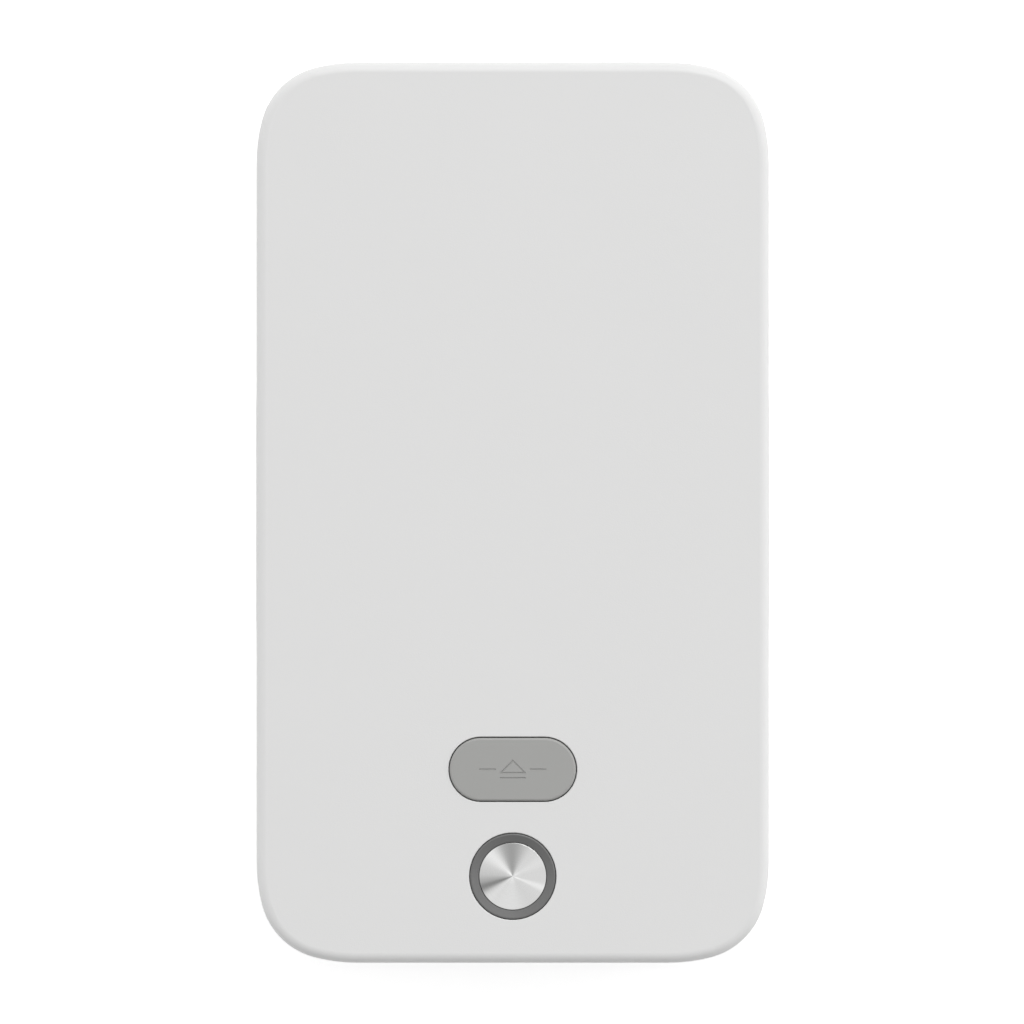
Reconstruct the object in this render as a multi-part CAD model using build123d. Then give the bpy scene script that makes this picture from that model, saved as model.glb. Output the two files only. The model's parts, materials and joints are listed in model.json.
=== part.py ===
"""Handheld label printer, lying on its back with its front cover up.

Millimetres. X runs across the body, Y along it towards the label exit and Z out
of the front face. The origin is under the middle of the body, on its back face.
The front cover is hinged on the left long side and latched on the right one.
"""

from math import acos, cos, pi, radians, sin, sqrt, tan
import os

from build123d import *

# Tolerance for picking edges by their height
TOUCH = 0.001

# Corners of the outline, seen from the front
LEAD_RADIUS = 24.8
CORNER_RADIUS = 10.56
LEAD_ANGLE = 14.3

# Walls, seam and edge rounding
WALL = 1.6
BACK_WALL = 1.6
FACE_WALL = 1.6
BACK_FILLET = 3.0
FACE_FILLET = 1.4
HOLE_ROUNDING = 0.15
RECESS_LENGTH = 40.0
RECESS_WIDTH = 34.0
RECESS_DEPTH = 0.3
RECESS_CORNER = 2.0
SEAM_Z = 19.0
SEAM_GAP = 0.3
SEAM_CHAMFER = 0.4
LIP_WALL = 0.8
LIP_HEIGHT = 1.0
LIP_GAP = 0.2
FRAME_GAP = 0.3

# Label roll and the heights that follow from it
ROLL_RADIUS = 20.0
ROLL_SLACK = 2.0
LABEL_WIDTH = 15.0
LABEL_GAP = 0.15
BATTERY_HEIGHT = 5.0
BATTERY_GAP = 0.2
ANTENNA_THICKNESS = 0.4
FRAME_WALL = 1.2
ROLL_TOP_GAP = 0.2
LINER_RIB = 0.8
LINER_THICKNESS = 1.0
LINER_STANDOFF = 1.0
BAY_FLOOR_Z = BACK_WALL + BATTERY_HEIGHT + BATTERY_GAP + ANTENNA_THICKNESS
BAY_Z = BAY_FLOOR_Z + FRAME_WALL
LABEL_TOP = BAY_Z + LABEL_WIDTH
LINER_Z = LABEL_TOP + ROLL_TOP_GAP + LINER_RIB
LINER_TOP = LINER_Z + LINER_THICKNESS
FACE_INSIDE = LINER_TOP + LINER_STANDOFF
HEIGHT = FACE_INSIDE + FACE_WALL
BAY_RADIUS = ROLL_RADIUS + ROLL_SLACK
WELL_RADIUS = BAY_RADIUS + FRAME_WALL

# Room left round the roll bay and the mechanism
LEAD_ROOM = 7.2
BOSS_ROOM = 0.8
LATCH_ROOM = 2.9
BAY_ROOM = 3.8
MECHANISM_LENGTH = 42.2

# Deck of the inner frame
RIM_ABOVE_DECK = 1.4
DECK_TOP = SEAM_Z - RIM_ABOVE_DECK
DECK_Z = DECK_TOP - FRAME_WALL

# Hinge on the left long side
BARREL_RADIUS = 2.0
HINGE_DROP = 7.0
HINGE_PIN_RADIUS = 0.8
HINGE_RUNNING_GAP = 0.05
HINGE_Y = 30.0
TAB_WIDTH = 9.0
TAB_GAP = 0.2
EAR_WIDTH = 2.0
EAR_HEIGHT = 4.8
NOTCH_GAP = 0.15
OPEN_ANGLE = 105.0
HINGE_Z = SEAM_Z - HINGE_DROP

# Side grips
GRIP_PROUD = 0.15
GRIP_FLAT = 31.0
GRIP_RAMP = 8.5
GRIP_Z = 4.5
GRIP_HEIGHT = 12.6
GRIP_GROOVES = 13
GRIP_GROOVE = 0.9

# Button that opens the cover
OPEN_FROM_END = 27.94
OPEN_LENGTH = 18.56
OPEN_WIDTH = 9.4
OPEN_GAP = 0.15
OPEN_PROUD = 0.2
OPEN_BEVEL = 0.35
OPEN_TRAVEL = 1.2
OPEN_FLANGE = 1.15
OPEN_FLANGE_THICKNESS = 0.9
BUTTON_STOP_GAP = 0.1
WEDGE_WIDTH = 6.0
WEDGE_LENGTH = 3.6
WEDGE_X = -1.0
WEDGE_GAP = 0.1
OPEN_SPRING_X = 8.0
OPEN_SPRING_RADIUS = 1.6
BUTTON_WIRE = 0.35
BUTTON_TURNS = 4

# Latch slide and its housing, carried by the cover
HOUSING_THICKNESS = 1.2
HOUSING_ABOVE_SEAM = 0.1
HOUSING_WALL = 1.0
HOUSING_SIDE_WIDTH = 5.6
HOUSING_SIDE_GAP = 0.8
HOUSING_TAIL = 3.5
GUIDE_RIB_HALF = 0.8
GUIDE_RIB_OVERLAP = 0.4
GUIDE_RIB_FROM_SPRING = 10.0
GUIDE_RIB_FROM_BAY = 4.0
SLIDE_GAP = 0.1
SLIDE_THICKNESS = 2.0
SLIDE_RAIL = 1.5
SLIDE_WINDOW_GAP = 0.2
SLIDE_END_GAP = 0.3
ARM_THICKNESS = 1.6
ARM_HEIGHT = 3.0
ARM_WALL_GAP = 2.4
ARM_NECK = 5.0
HOOK_WIDTH = 5.0
HOOK_LEAD = 0.4
BARB = 1.4
BARB_HEIGHT = 1.2
KEEPER_THICKNESS = 0.5
KEEPER_LIP = 2.0
KEEPER_WIDTH = 4.6
KEEPER_LENGTH = 8.0
KEEPER_GAP = 0.2
PEG_RADIUS = 0.8
PEG_LENGTH = 0.8
LATCH_SPRING_FROM_BAY = 13.0
LATCH_SPRING_SEAT = 1.0
LATCH_SPRING_SEAT_HALF = 2.2
LATCH_SPRING_RADIUS = 1.25
LATCH_SPRING_LENGTH = 4.4
LATCH_TURNS = 3

# Power button, its light ring and the switch below it
POWER_FROM_END = 12.5
RING_RADIUS = 6.2
RING_GAP = 0.1
RING_ROUNDING = 0.2
RING_LAND = 0.25
RING_DROP = 0.7
RING_FLANGE = 1.0
RING_FLANGE_THICKNESS = 1.4
DISC_RADIUS = 4.86
DISC_GAP = 0.06
DISC_THICKNESS = 0.9
DISC_PROUD = 0.05
DISC_CHAMFER = 0.1
DISC_DISH = 0.12
STEM_RADIUS = 2.5
STEM_RUNNING_GAP = 0.05
POWER_TRAVEL = 0.5
POWER_BOSS_WALL = 1.0
POWER_BOSS_FLOOR = 1.2
POWER_SPRING_RADIUS = 3.3
POWER_TURNS = 4
CLIP_RADIUS = 4.0
CLIP_THICKNESS = 0.6
CLIP_GAP = 0.05
CLIP_GROOVE = 0.4
STEM_SWITCH_GAP = 0.2
PLUNGER_RADIUS = 1.7
PLUNGER_HEIGHT = 1.5
PLUNGER_TRAVEL = 0.32
SWITCH_SIDE = 6.0
SWITCH_HEIGHT = 3.5
LIGHT_HOLE_RADIUS = 6.6

# Main board and what it carries
BOARD_Z = 9.0
BOARD_THICKNESS = 1.2
BOARD_WIDTH = 52.0
BOARD_LENGTH = 33.9
BOARD_CORNER = 1.5
BOARD_END_GAP = 0.5
BOARD_SCREW_INSET = 3.6
USB_WIDTH = 8.94
USB_HEIGHT = 3.16
USB_DEPTH = 7.3
USB_SHELL = 0.3
USB_INSET = 0.8
USB_MOUTH_GAP = 0.3
TONGUE_WIDTH = 6.7
TONGUE_THICKNESS = 0.7
TONGUE_INSET = 0.8
TONGUE_ROOT = 1.2

# Parts on the main board, placed from its middle, its upper edge and the power switch
CHIP_HEIGHT = 0.9
PROCESSOR_SIDE = 8.0
PROCESSOR_X = -1.0
PROCESSOR_UP = 10.0
MEMORY_LENGTH = 5.0
MEMORY_WIDTH = 4.0
MEMORY_X = 7.0
MEMORY_DOWN = 5.0
CHARGER_SIDE = 4.0
CHARGER_X = 11.0
CHARGER_UP = 6.5
DRIVER_LENGTH = 6.0
DRIVER_WIDTH = 5.0
DRIVER_FROM_SIDE = 7.0
DRIVER_DOWN = 12.0
COIL_SIDE = 5.0
COIL_HEIGHT = 2.2
COIL_X = 12.5
COIL_UP = -0.5
SHIELD_LENGTH = 13.0
SHIELD_WIDTH = 10.0
SHIELD_HEIGHT = 2.0
SHIELD_WALL = 0.3
SHIELD_TOP = 0.2
SHIELD_FROM_SIDE = 9.0
SHIELD_UP = 4.5
BATTERY_PLUG_LENGTH = 6.0
BATTERY_PLUG_WIDTH = 4.4
BATTERY_PLUG_HEIGHT = 3.0
BATTERY_PLUG_X = -9.0
BATTERY_PLUG_DOWN = 6.2
HEAD_PLUG_LENGTH = 10.0
HEAD_PLUG_WIDTH = 3.0
HEAD_PLUG_HEIGHT = 1.4
HEAD_PLUG_X = 9.0
HEAD_PLUG_DOWN = 10.5
MOTOR_PLUG_LENGTH = 6.0
MOTOR_PLUG_WIDTH = 3.0
MOTOR_PLUG_HEIGHT = 1.8
MOTOR_PLUG_X = -16.0
MOTOR_PLUG_DOWN = 2.2
LED_LENGTH = 1.6
LED_WIDTH = 0.8
LED_HEIGHT = 0.7
LED_FROM_SWITCH = 1.6

# Screws
BOSS_RADIUS = 2.5
CORNER_BOSS_FROM_SIDE = 7.5
CORNER_BOSS_FROM_END = 11.5
LEFT_BOSS_FROM_SIDE = 5.5
LEFT_BOSS_FROM_BAY = 14.0
RIGHT_BOSS_FROM_BAY = 7.0
SCREW_RADIUS = 0.85
SCREW_HEAD_RADIUS = 1.8
SCREW_HEAD = 1.0
SCREW_LENGTH = 7.0
SCREW_HOLE_GAP = 0.25
SOCKET_RADIUS = 0.8
SOCKET_DEPTH = 0.6
COVER_BOSS_RADIUS = 2.0
COVER_SCREW_RADIUS = 0.65
COVER_SCREW_HEAD_RADIUS = 1.4
COVER_SCREW_HEAD = 0.7
COVER_SCREW_GAP = 0.15
BOSS_EDGE = 0.3
HOUSING_SCREW_GRIP = 3.6
HOUSING_HOLE_DEPTH = 4.0
HOUSING_SCREW_FROM_BUTTON = 9.72
HOUSING_SCREW_FROM_BAY = 3.0
LINER_SCREW_GRIP = 1.6
LINER_HOLE_DEPTH = 1.8
LINER_SCREW_INSET = 3.0
LINER_SCREW_FROM_END = 6.0
LINER_FROM_SIDE = 4.0
LINER_FROM_HOUSING = 3.0
LINER_GAP = 0.6

# Battery
BATTERY_WIDTH = 42.0
BATTERY_LENGTH = 44.0
BATTERY_CORNER = 3.0
BATTERY_ROUNDING = 0.8
RIB_WALL = 1.0
RIB_GAP = 0.2
RIB_HALF = 10.0
ANTENNA_RADIUS = 14.0
ANTENNA_HOLE = 9.0

# Leads
WIRE_RADIUS = 0.6
WIRE_APART = 1.8
WIRE_BEND = 1.4
WIRE_STRAIGHT = 2.6
MOTOR_LEAD_RADIUS = 0.9
MOTOR_LEAD_BEND = 2.0
MOTOR_LEAD_STRAIGHT = 6.0
MOTOR_LEAD_CLEAR = 3.0
MOTOR_LEAD_RUN = 20.0

# Print mechanism
PLATEN_RADIUS = 4.0
PLATEN_FROM_END = 15.0
SHAFT_RADIUS = 1.5
SHAFT_RUNNING_GAP = 0.05
SHAFT_ABOVE_ROLLER = 0.4
ROLLER_CLEAR = 0.2
BUSH_RADIUS = 2.6
BUSH_FLANGE_RADIUS = 3.4
BUSH_FLANGE = 0.4
POCKET_GAP = 1.5
POCKET_OVERLAP = 10.0
FOOT_WALL = 1.2
FOOT_GAP = 0.2
HEAD_CERAMIC = 1.0
HEAD_LENGTH = 11.0
HEAD_ARM_THICKNESS = 2.5
HEAD_ARM_LENGTH = 21.0
HEAD_TIP = 6.0
HEAD_PIN_RADIUS = 1.0
HEAD_KNUCKLE_RADIUS = 2.2
HEAD_SWING = 5.0
HEAD_SPRING_LENGTH = 6.85
HEAD_SPRING_RADIUS = 2.0
HEAD_SPRING_WIRE = 0.45
HEAD_SPRING_TURNS = 5
HEAD_SPRING_PEG = 1.2
FIN_COUNT = 4
FIN_PITCH = 3.0
FIN_SLOT = 1.2
FIN_DEPTH = 0.8
FIN_FROM_PIN = 9.0
FIN_ABOVE_SPRING = 3.5
EXIT_LEFT = 1.9
EXIT_RIGHT = 2.9
EXIT_PAD = 0.6
EXIT_PROUD = 0.1
BLADE_THICKNESS = 0.4
BLADE_LENGTH = 6.6
BLADE_TOOTH = 0.4
BLADE_TEETH = 18
BLADE_X_GAP = 1.2
BLADE_BLOCK = 3.2
BLADE_PEG_RADIUS = 0.6
BLADE_PEG_INSET = 1.6
BLADE_PEG_EDGE = 2.2
SENSOR_LENGTH = 5.0
SENSOR_THICKNESS = 2.8
SENSOR_HEIGHT = 5.5
SENSOR_GAP = 0.6
SENSOR_BEHIND_PIN = 11.0
SENSOR_WINDOW = 0.9
SENSOR_WINDOW_DEPTH = 0.4

# Motor and gears
MOTOR_RADIUS = 7.5
MOTOR_HEIGHT = 7.5
MOTOR_EAR_PITCH = 9.6
MOTOR_EAR_RADIUS = 2.2
MOTOR_FLANGE = 0.8
MOTOR_WALL_GAP = 0.5
MOTOR_SHAFT_RADIUS = 0.75
MOTOR_SHAFT_INSIDE = 3.6
MOTOR_BOSS_RADIUS = 2.0
GEAR_MODULE = 0.5
PRESSURE_ANGLE = 20.0
BACKLASH = 0.12
PLATEN_TEETH = 24
REDUCTION_SMALL_TEETH = 14
REDUCTION_LARGE_TEETH = 28
PINION_TEETH = 10
AXLE_RADIUS = 0.75
GEAR_FACE = 2.0
GEAR_FLOOR_GAP = 0.8
GEAR_STEP = 0.3

# Width and length, from what lies side by side and end to end inside
HEAD_STACK = LABEL_GAP + HEAD_CERAMIC + HEAD_ARM_THICKNESS + HEAD_SPRING_LENGTH + FRAME_WALL
LATCH_STACK = BOSS_ROOM + 2 * BOSS_RADIUS + LATCH_ROOM
WIDTH = 2 * WALL + LEAD_ROOM + WELL_RADIUS + ROLL_RADIUS + HEAD_STACK + LATCH_STACK
BOARD_STACK = BOARD_END_GAP + BOARD_LENGTH + BAY_ROOM
LENGTH = 2 * WALL + BOARD_STACK + 2 * WELL_RADIUS + MECHANISM_LENGTH

# Places worked out from the sizes above
HALF_WIDTH = WIDTH / 2
HALF_LENGTH = LENGTH / 2
INNER_X = HALF_WIDTH - WALL
INNER_Y = HALF_LENGTH - WALL
BAY_X = LEAD_ROOM + WELL_RADIUS - INNER_X
BAY_Y = BOARD_STACK + WELL_RADIUS - INNER_Y
TAPE_X = BAY_X + ROLL_RADIUS
HINGE_X = BARREL_RADIUS - HALF_WIDTH
OPEN_Y = OPEN_FROM_END - HALF_LENGTH
POWER_Y = POWER_FROM_END - HALF_LENGTH
HOOK_Y = (OPEN_Y, BAY_Y + BAY_RADIUS)
LATCH_SPRING_Y = BAY_Y - LATCH_SPRING_FROM_BAY
BOARD_TOP = BOARD_Z + BOARD_THICKNESS
BOARD_END_Y = BOARD_END_GAP - INNER_Y
BOARD_TOP_Y = BOARD_END_Y + BOARD_LENGTH
PLATEN_X = TAPE_X - PLATEN_RADIUS
PLATEN_Y = HALF_LENGTH - PLATEN_FROM_END
HEAD_X = TAPE_X + LABEL_GAP
ARM_X = HEAD_X + HEAD_CERAMIC
ARM_BACK_X = ARM_X + HEAD_ARM_THICKNESS
HEAD_PIN_X = ARM_X + HEAD_KNUCKLE_RADIUS
HEAD_PIN_Y = PLATEN_Y + HEAD_TIP - HEAD_ARM_LENGTH
POCKET_X = PLATEN_X - PLATEN_RADIUS - POCKET_GAP
POCKET_RIGHT = ARM_BACK_X + HEAD_SPRING_LENGTH
POCKET_Y = BAY_Y + BAY_RADIUS - POCKET_OVERLAP
POCKET_END = INNER_Y - FRAME_GAP - FRAME_WALL
HEAD_SPRING_Y = PLATEN_Y + 1.0
HEAD_SPRING_Z = (BAY_Z + DECK_TOP) / 2
REDUCTION_X = PLATEN_X - GEAR_MODULE * (PLATEN_TEETH + REDUCTION_SMALL_TEETH) / 2
MOTOR_X = REDUCTION_X - GEAR_MODULE * (REDUCTION_LARGE_TEETH + PINION_TEETH) / 2
LOW_GEAR_Z = BACK_WALL + GEAR_FLOOR_GAP
HIGH_GEAR_Z = LOW_GEAR_Z + GEAR_FACE + GEAR_STEP
HIGH_GEAR_TOP = HIGH_GEAR_Z + GEAR_FACE
MOTOR_WALL_X = MOTOR_X - MOTOR_RADIUS - FRAME_WALL - MOTOR_WALL_GAP
HOUSING_Z = SEAM_Z + HOUSING_ABOVE_SEAM
HOUSING_TOP = HOUSING_Z + HOUSING_THICKNESS
SLIDE_Z = HOUSING_TOP + SLIDE_GAP
SLIDE_TOP = SLIDE_Z + SLIDE_THICKNESS
ARM_OUTER_X = INNER_X - ARM_WALL_GAP
ARM_INNER_X = ARM_OUTER_X - ARM_THICKNESS
HOOK_BARB_TOP = DECK_Z
HOOK_BOTTOM = HOOK_BARB_TOP - BARB_HEIGHT
OPEN_FLANGE_TOP = FACE_INSIDE - BUTTON_STOP_GAP
OPEN_FLANGE_Z = OPEN_FLANGE_TOP - OPEN_FLANGE_THICKNESS
WEDGE_Z = SLIDE_Z + OPEN_TRAVEL + WEDGE_GAP
RING_INNER_Z = HEIGHT - RING_DROP
DISC_TOP = RING_INNER_Z + DISC_PROUD
DISC_Z = DISC_TOP - DISC_THICKNESS
POWER_BOSS_RADIUS = RING_RADIUS + RING_FLANGE + POWER_BOSS_WALL
POWER_BOSS_Z = HOUSING_TOP
POWER_FLOOR_TOP = POWER_BOSS_Z + POWER_BOSS_FLOOR
CLIP_TOP = POWER_BOSS_Z - CLIP_GAP
SWITCH_TOP = BOARD_TOP + SWITCH_HEIGHT
PLUNGER_TOP = SWITCH_TOP + PLUNGER_HEIGHT
STEM_Z = PLUNGER_TOP + STEM_SWITCH_GAP
CORNER_BOSS_X = HALF_WIDTH - CORNER_BOSS_FROM_SIDE
CORNER_BOSS_Y = HALF_LENGTH - CORNER_BOSS_FROM_END
CHASSIS_BOSSES = (
    (-CORNER_BOSS_X, -CORNER_BOSS_Y),
    (CORNER_BOSS_X, -CORNER_BOSS_Y),
    (-CORNER_BOSS_X, CORNER_BOSS_Y),
    (CORNER_BOSS_X, CORNER_BOSS_Y),
    (LEFT_BOSS_FROM_SIDE - HALF_WIDTH, BAY_Y + LEFT_BOSS_FROM_BAY),
    (POCKET_RIGHT + FRAME_WALL + BOSS_ROOM + BOSS_RADIUS, BAY_Y + RIGHT_BOSS_FROM_BAY),
)
BOARD_SCREW_X = BOARD_WIDTH / 2 - BOARD_SCREW_INSET
BOARD_SCREWS = [
    (side * BOARD_SCREW_X, y)
    for side in (-1, 1)
    for y in (BOARD_TOP_Y - BOARD_SCREW_INSET, BOARD_END_Y + BOARD_SCREW_INSET)
]
HOUSING_LEFT = -OPEN_LENGTH / 2 - OPEN_FLANGE - HOUSING_WALL - 2 * COVER_BOSS_RADIUS - 2 * BOSS_EDGE
HOUSING_HALF = OPEN_WIDTH / 2 + OPEN_FLANGE + HOUSING_WALL
HOUSING_SIDE_X = ARM_INNER_X - HOUSING_SIDE_WIDTH
HOUSING_RIGHT = INNER_X - HOUSING_SIDE_GAP
HOUSING_END_Y = HOOK_Y[1] + HOOK_WIDTH / 2 + HOUSING_TAIL
HOUSING_SCREW_X = OPEN_LENGTH / 2 + HOUSING_SCREW_FROM_BUTTON
HOUSING_SCREWS = (
    (HOUSING_LEFT + COVER_BOSS_RADIUS + BOSS_EDGE, OPEN_Y),
    (HOUSING_SCREW_X, OPEN_Y + HOUSING_HALF - COVER_BOSS_RADIUS),
    (HOUSING_SCREW_X, OPEN_Y - HOUSING_HALF + COVER_BOSS_RADIUS),
    (HOUSING_SIDE_X + COVER_BOSS_RADIUS, BAY_Y - HOUSING_SCREW_FROM_BAY),
    (HOUSING_SIDE_X + COVER_BOSS_RADIUS, HOUSING_END_Y - COVER_BOSS_RADIUS - BOSS_EDGE),
)
LINER_LEFT = LINER_FROM_SIDE - HALF_WIDTH
LINER_RIGHT = HOUSING_SIDE_X - LINER_GAP
LINER_BOTTOM = OPEN_Y + HOUSING_HALF + LINER_FROM_HOUSING
LINER_SCREWS = [
    (x, y)
    for x in (LINER_LEFT + LINER_SCREW_INSET, LINER_RIGHT - LINER_SCREW_INSET)
    for y in (LINER_BOTTOM + LINER_SCREW_INSET, INNER_Y - LINER_SCREW_FROM_END)
]


def block(x0, x1, y0, y1, z0, z1):
    """Box between two corners."""
    middle = Pos((x0 + x1) / 2, (y0 + y1) / 2, (z0 + z1) / 2)
    return middle * Box(x1 - x0, y1 - y0, z1 - z0)


def post(x, y, radius, z0, z1):
    """Upright cylinder."""
    return Pos(x, y, (z0 + z1) / 2) * Cylinder(radius, z1 - z0)


def rod_x(y, z, radius, x0, x1):
    """Cylinder lying along X."""
    return Pos((x0 + x1) / 2, y, z) * Rot(0, 90, 0) * Cylinder(radius, x1 - x0)


def rod_y(x, z, radius, y0, y1):
    """Cylinder lying along Y."""
    return Pos(x, (y0 + y1) / 2, z) * Rot(90, 0, 0) * Cylinder(radius, y1 - y0)


def prism_y(points, y0, y1):
    """Polygon of (x, z) points drawn out along Y."""
    face = make_face(Polyline(*[(x, y0, z) for x, z in points], close=True))
    return extrude(face, amount=y1 - y0, dir=(0, 1, 0))


def corner_points(inset):
    """Arc points of the right-hand top corner, from its side to its end."""
    turn = radians(LEAD_ANGLE)
    step = LEAD_RADIUS - CORNER_RADIUS
    extent = LEAD_RADIUS - step * (cos(turn) - sin(turn))
    side = (HALF_WIDTH - LEAD_RADIUS, HALF_LENGTH - extent)
    middle = (side[0] + step * cos(turn), side[1] + step * sin(turn))
    end = (HALF_WIDTH - extent, HALF_LENGTH - LEAD_RADIUS)
    lead = LEAD_RADIUS - inset
    tight = CORNER_RADIUS - inset

    def at(centre, radius, angle):
        return (centre[0] + radius * cos(angle), centre[1] + radius * sin(angle))

    return [
        at(side, lead, 0.0),
        at(side, lead, turn / 2),
        at(middle, tight, turn),
        at(middle, tight, pi / 4),
        at(middle, tight, pi / 2 - turn),
        at(end, lead, pi / 2 - turn / 2),
        at(end, lead, pi / 2),
    ]


def outline(inset):
    """Body outline in plan, drawn in by inset."""
    quarter = corner_points(inset)
    edges = []
    previous = None
    for sx, sy in ((1, 1), (-1, 1), (-1, -1), (1, -1)):
        points = [(sx * x, sy * y) for x, y in quarter]
        if sx * sy < 0:
            points.reverse()
        if previous is not None:
            edges.append(Line(previous, points[0]))
        for first in (0, 2, 4):
            edges.append(ThreePointArc(*points[first : first + 3]))
        previous = points[-1]
    edges.append(Line(previous, quarter[0]))
    return make_face(edges)


def slab(inset, z0, z1):
    """The body's outline, drawn in by inset, between two heights."""
    return extrude(Pos(0, 0, z0) * outline(inset), amount=z1 - z0)


def pill(x, y, length, width, z0, z1):
    """Upright slot shape with round ends."""
    return extrude(Pos(x, y, z0) * SlotOverall(length, width), amount=z1 - z0)


def bottom_edges(shape):
    """The lowest ring of edges."""
    return shape.edges().group_by(Axis.Z)[0]


def top_edges(shape):
    """The highest ring of edges."""
    return shape.edges().group_by(Axis.Z)[-1]


def gear(teeth, turn, z0, z1):
    """Spur gear about Z with flanks by the involute formula; turn is a tooth's middle."""
    pitch = GEAR_MODULE * teeth / 2
    base = pitch * cos(radians(PRESSURE_ANGLE))
    tip = pitch + 0.95 * GEAR_MODULE
    root = pitch - 1.25 * GEAR_MODULE
    half = pi / (2 * teeth) - BACKLASH / (4 * pitch)

    def roll(radius):
        angle = acos(min(1.0, base / radius))
        return tan(angle) - angle

    start = max(base, root)
    steps = 3
    radii = [start + (tip - start) * i / steps for i in range(steps + 1)]
    flank = [(radius, half + roll(pitch) - roll(radius)) for radius in radii]
    if root < start:
        flank.insert(0, (root, flank[0][1]))
    points = []
    for tooth in range(teeth):
        middle = turn + 2 * pi * tooth / teeth
        points += [(r * cos(middle - a), r * sin(middle - a)) for r, a in flank]
        points += [(r * cos(middle + a), r * sin(middle + a)) for r, a in reversed(flank)]
    face = make_face(Polyline(*points, close=True))
    return extrude(Pos(0, 0, z0) * face, amount=z1 - z0)


def biarc(start, start_way, end, end_way):
    """Two arcs that leave start along start_way and reach end along end_way."""
    across = end - start
    ways = start_way + end_way
    spread = 2 * (1 - start_way.dot(end_way))
    along = across.dot(ways)
    reach = (sqrt(along * along + spread * across.dot(across)) - along) / spread
    first = start + start_way * reach
    second = end - end_way * reach
    joint = (first + second) * 0.5
    way = (second - first).normalized()
    return [
        Edge.make_tangent_arc(start, start_way, joint),
        Edge.make_tangent_arc(joint, way, end),
    ]


def coil_spring(name, radius, wire, length, turns):
    """Compression spring standing on Z = 0, one tube with an upright stub at each end."""
    stub = wire
    rise_in = 1.3 * wire
    ramp = rise_in / radius
    first = ramp
    last = 2 * pi * turns - ramp
    low = stub + rise_in
    high = length - low
    pitch_rise = (high - low) / (last - first)

    def at(angle):
        z = low + pitch_rise * (angle - first)
        return Vector(radius * cos(angle), radius * sin(angle), z)

    def way(angle):
        return Vector(-radius * sin(angle), radius * cos(angle), pitch_rise).normalized()

    up = Vector(0, 0, 1)
    foot = Vector(radius, 0, 0)
    head = Vector(radius, 0, length)
    edges = [Edge.make_line(foot, foot + up * stub)]
    edges += biarc(foot + up * stub, up, at(first), way(first))
    halves = max(2, round((last - first) / pi))
    step = (last - first) / halves
    for i in range(halves):
        here = first + i * step
        edges += biarc(at(here), way(here), at(here + step), way(here + step))
    edges += biarc(at(last), way(last), head - up * stub, up)
    edges.append(Edge.make_line(head - up * stub, head))
    path = Wire(edges)
    tube = sweep(Plane(foot, z_dir=up) * Circle(wire / 2), path=path)
    gap = least_gap(path, wire)
    share = tube.volume / (pi * wire * wire / 4 * path.length)
    print(f"{name}: least gap {gap:.2f} mm, volume over section times length {share:.3f}")
    return tube


def least_gap(path, wire):
    """Least gap of a tube to itself, on points along its path."""
    count = 160
    points = [path.position_at(i / count) for i in range(count + 1)]
    apart = path.length / count
    skip = int(pi * wire / apart) + 2
    nearest = min(
        (points[i] - points[j]).length
        for i in range(count + 1)
        for j in range(i + skip, count + 1)
    )
    return nearest - wire


def screw(radius, head_radius, head, length):
    """Pan-head screw with a hexagon socket, seated at Z = 0 and pointing down."""
    body = post(0, 0, radius, -length, 0) + post(0, 0, head_radius, 0, head)
    body = fillet(top_edges(body), head * 0.35)
    socket = extrude(
        Pos(0, 0, head - SOCKET_DEPTH * head) * RegularPolygon(SOCKET_RADIUS * radius / 0.85, 6),
        amount=head,
    )
    return body - socket


def notch_shape():
    """Room in the base wall for one cover tab, from shut to fully open."""
    reach = BARREL_RADIUS + NOTCH_GAP
    under = radians(OPEN_ANGLE + 180)
    slope = tan(radians(OPEN_ANGLE - 90))
    start_x = HINGE_X + reach * cos(under)
    start_z = HINGE_Z + reach * sin(under)
    outside = -HALF_WIDTH - GRIP_PROUD - 1.0
    points = [
        (start_x, start_z),
        (outside, start_z - (start_x - outside) * slope),
        (outside, SEAM_Z + 2 * LIP_HEIGHT),
        (HINGE_X + reach, SEAM_Z + 2 * LIP_HEIGHT),
        (HINGE_X + reach, HINGE_Z),
    ]
    half = TAB_WIDTH / 2 + TAB_GAP
    shape = prism_y(points, -half, half) + rod_y(HINGE_X, HINGE_Z, reach, -half, half)
    return shape


def side_grip():
    """Raised grip with upright grooves, for the right-hand side."""
    half = GRIP_FLAT / 2
    foot = half + GRIP_RAMP
    inside = HALF_WIDTH - WALL / 2
    points = [
        (inside, -foot),
        (HALF_WIDTH, -foot),
        (HALF_WIDTH + GRIP_PROUD, -half),
        (HALF_WIDTH + GRIP_PROUD, half),
        (HALF_WIDTH, foot),
        (inside, foot),
    ]
    pad = extrude(make_face(Polyline(*points, close=True)), amount=GRIP_HEIGHT)
    pad = Pos(0, 0, GRIP_Z) * pad
    pitch = GRIP_FLAT / GRIP_GROOVES
    for i in range(GRIP_GROOVES):
        y = (i - (GRIP_GROOVES - 1) / 2) * pitch
        groove = block(
            HALF_WIDTH, HALF_WIDTH + 1, y - GRIP_GROOVE / 2, y + GRIP_GROOVE / 2,
            GRIP_Z + GRIP_GROOVE, GRIP_Z + GRIP_HEIGHT - GRIP_GROOVE,
        )
        pad -= groove
    return pad


def exit_pad(z0, z1):
    """Low frame round the label exit on the top end."""
    return block(
        TAPE_X - EXIT_LEFT - EXIT_PAD, TAPE_X + EXIT_RIGHT + EXIT_PAD,
        HALF_LENGTH - WALL / 2, HALF_LENGTH + EXIT_PROUD, z0, z1,
    )


def exit_cut(z0, z1):
    """The label exit through the end walls, wider where the cover swings past the blade."""
    return block(
        TAPE_X - EXIT_LEFT, TAPE_X + EXIT_RIGHT, POCKET_END - 1, HALF_LENGTH + 1, z0, z1
    )


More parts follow.
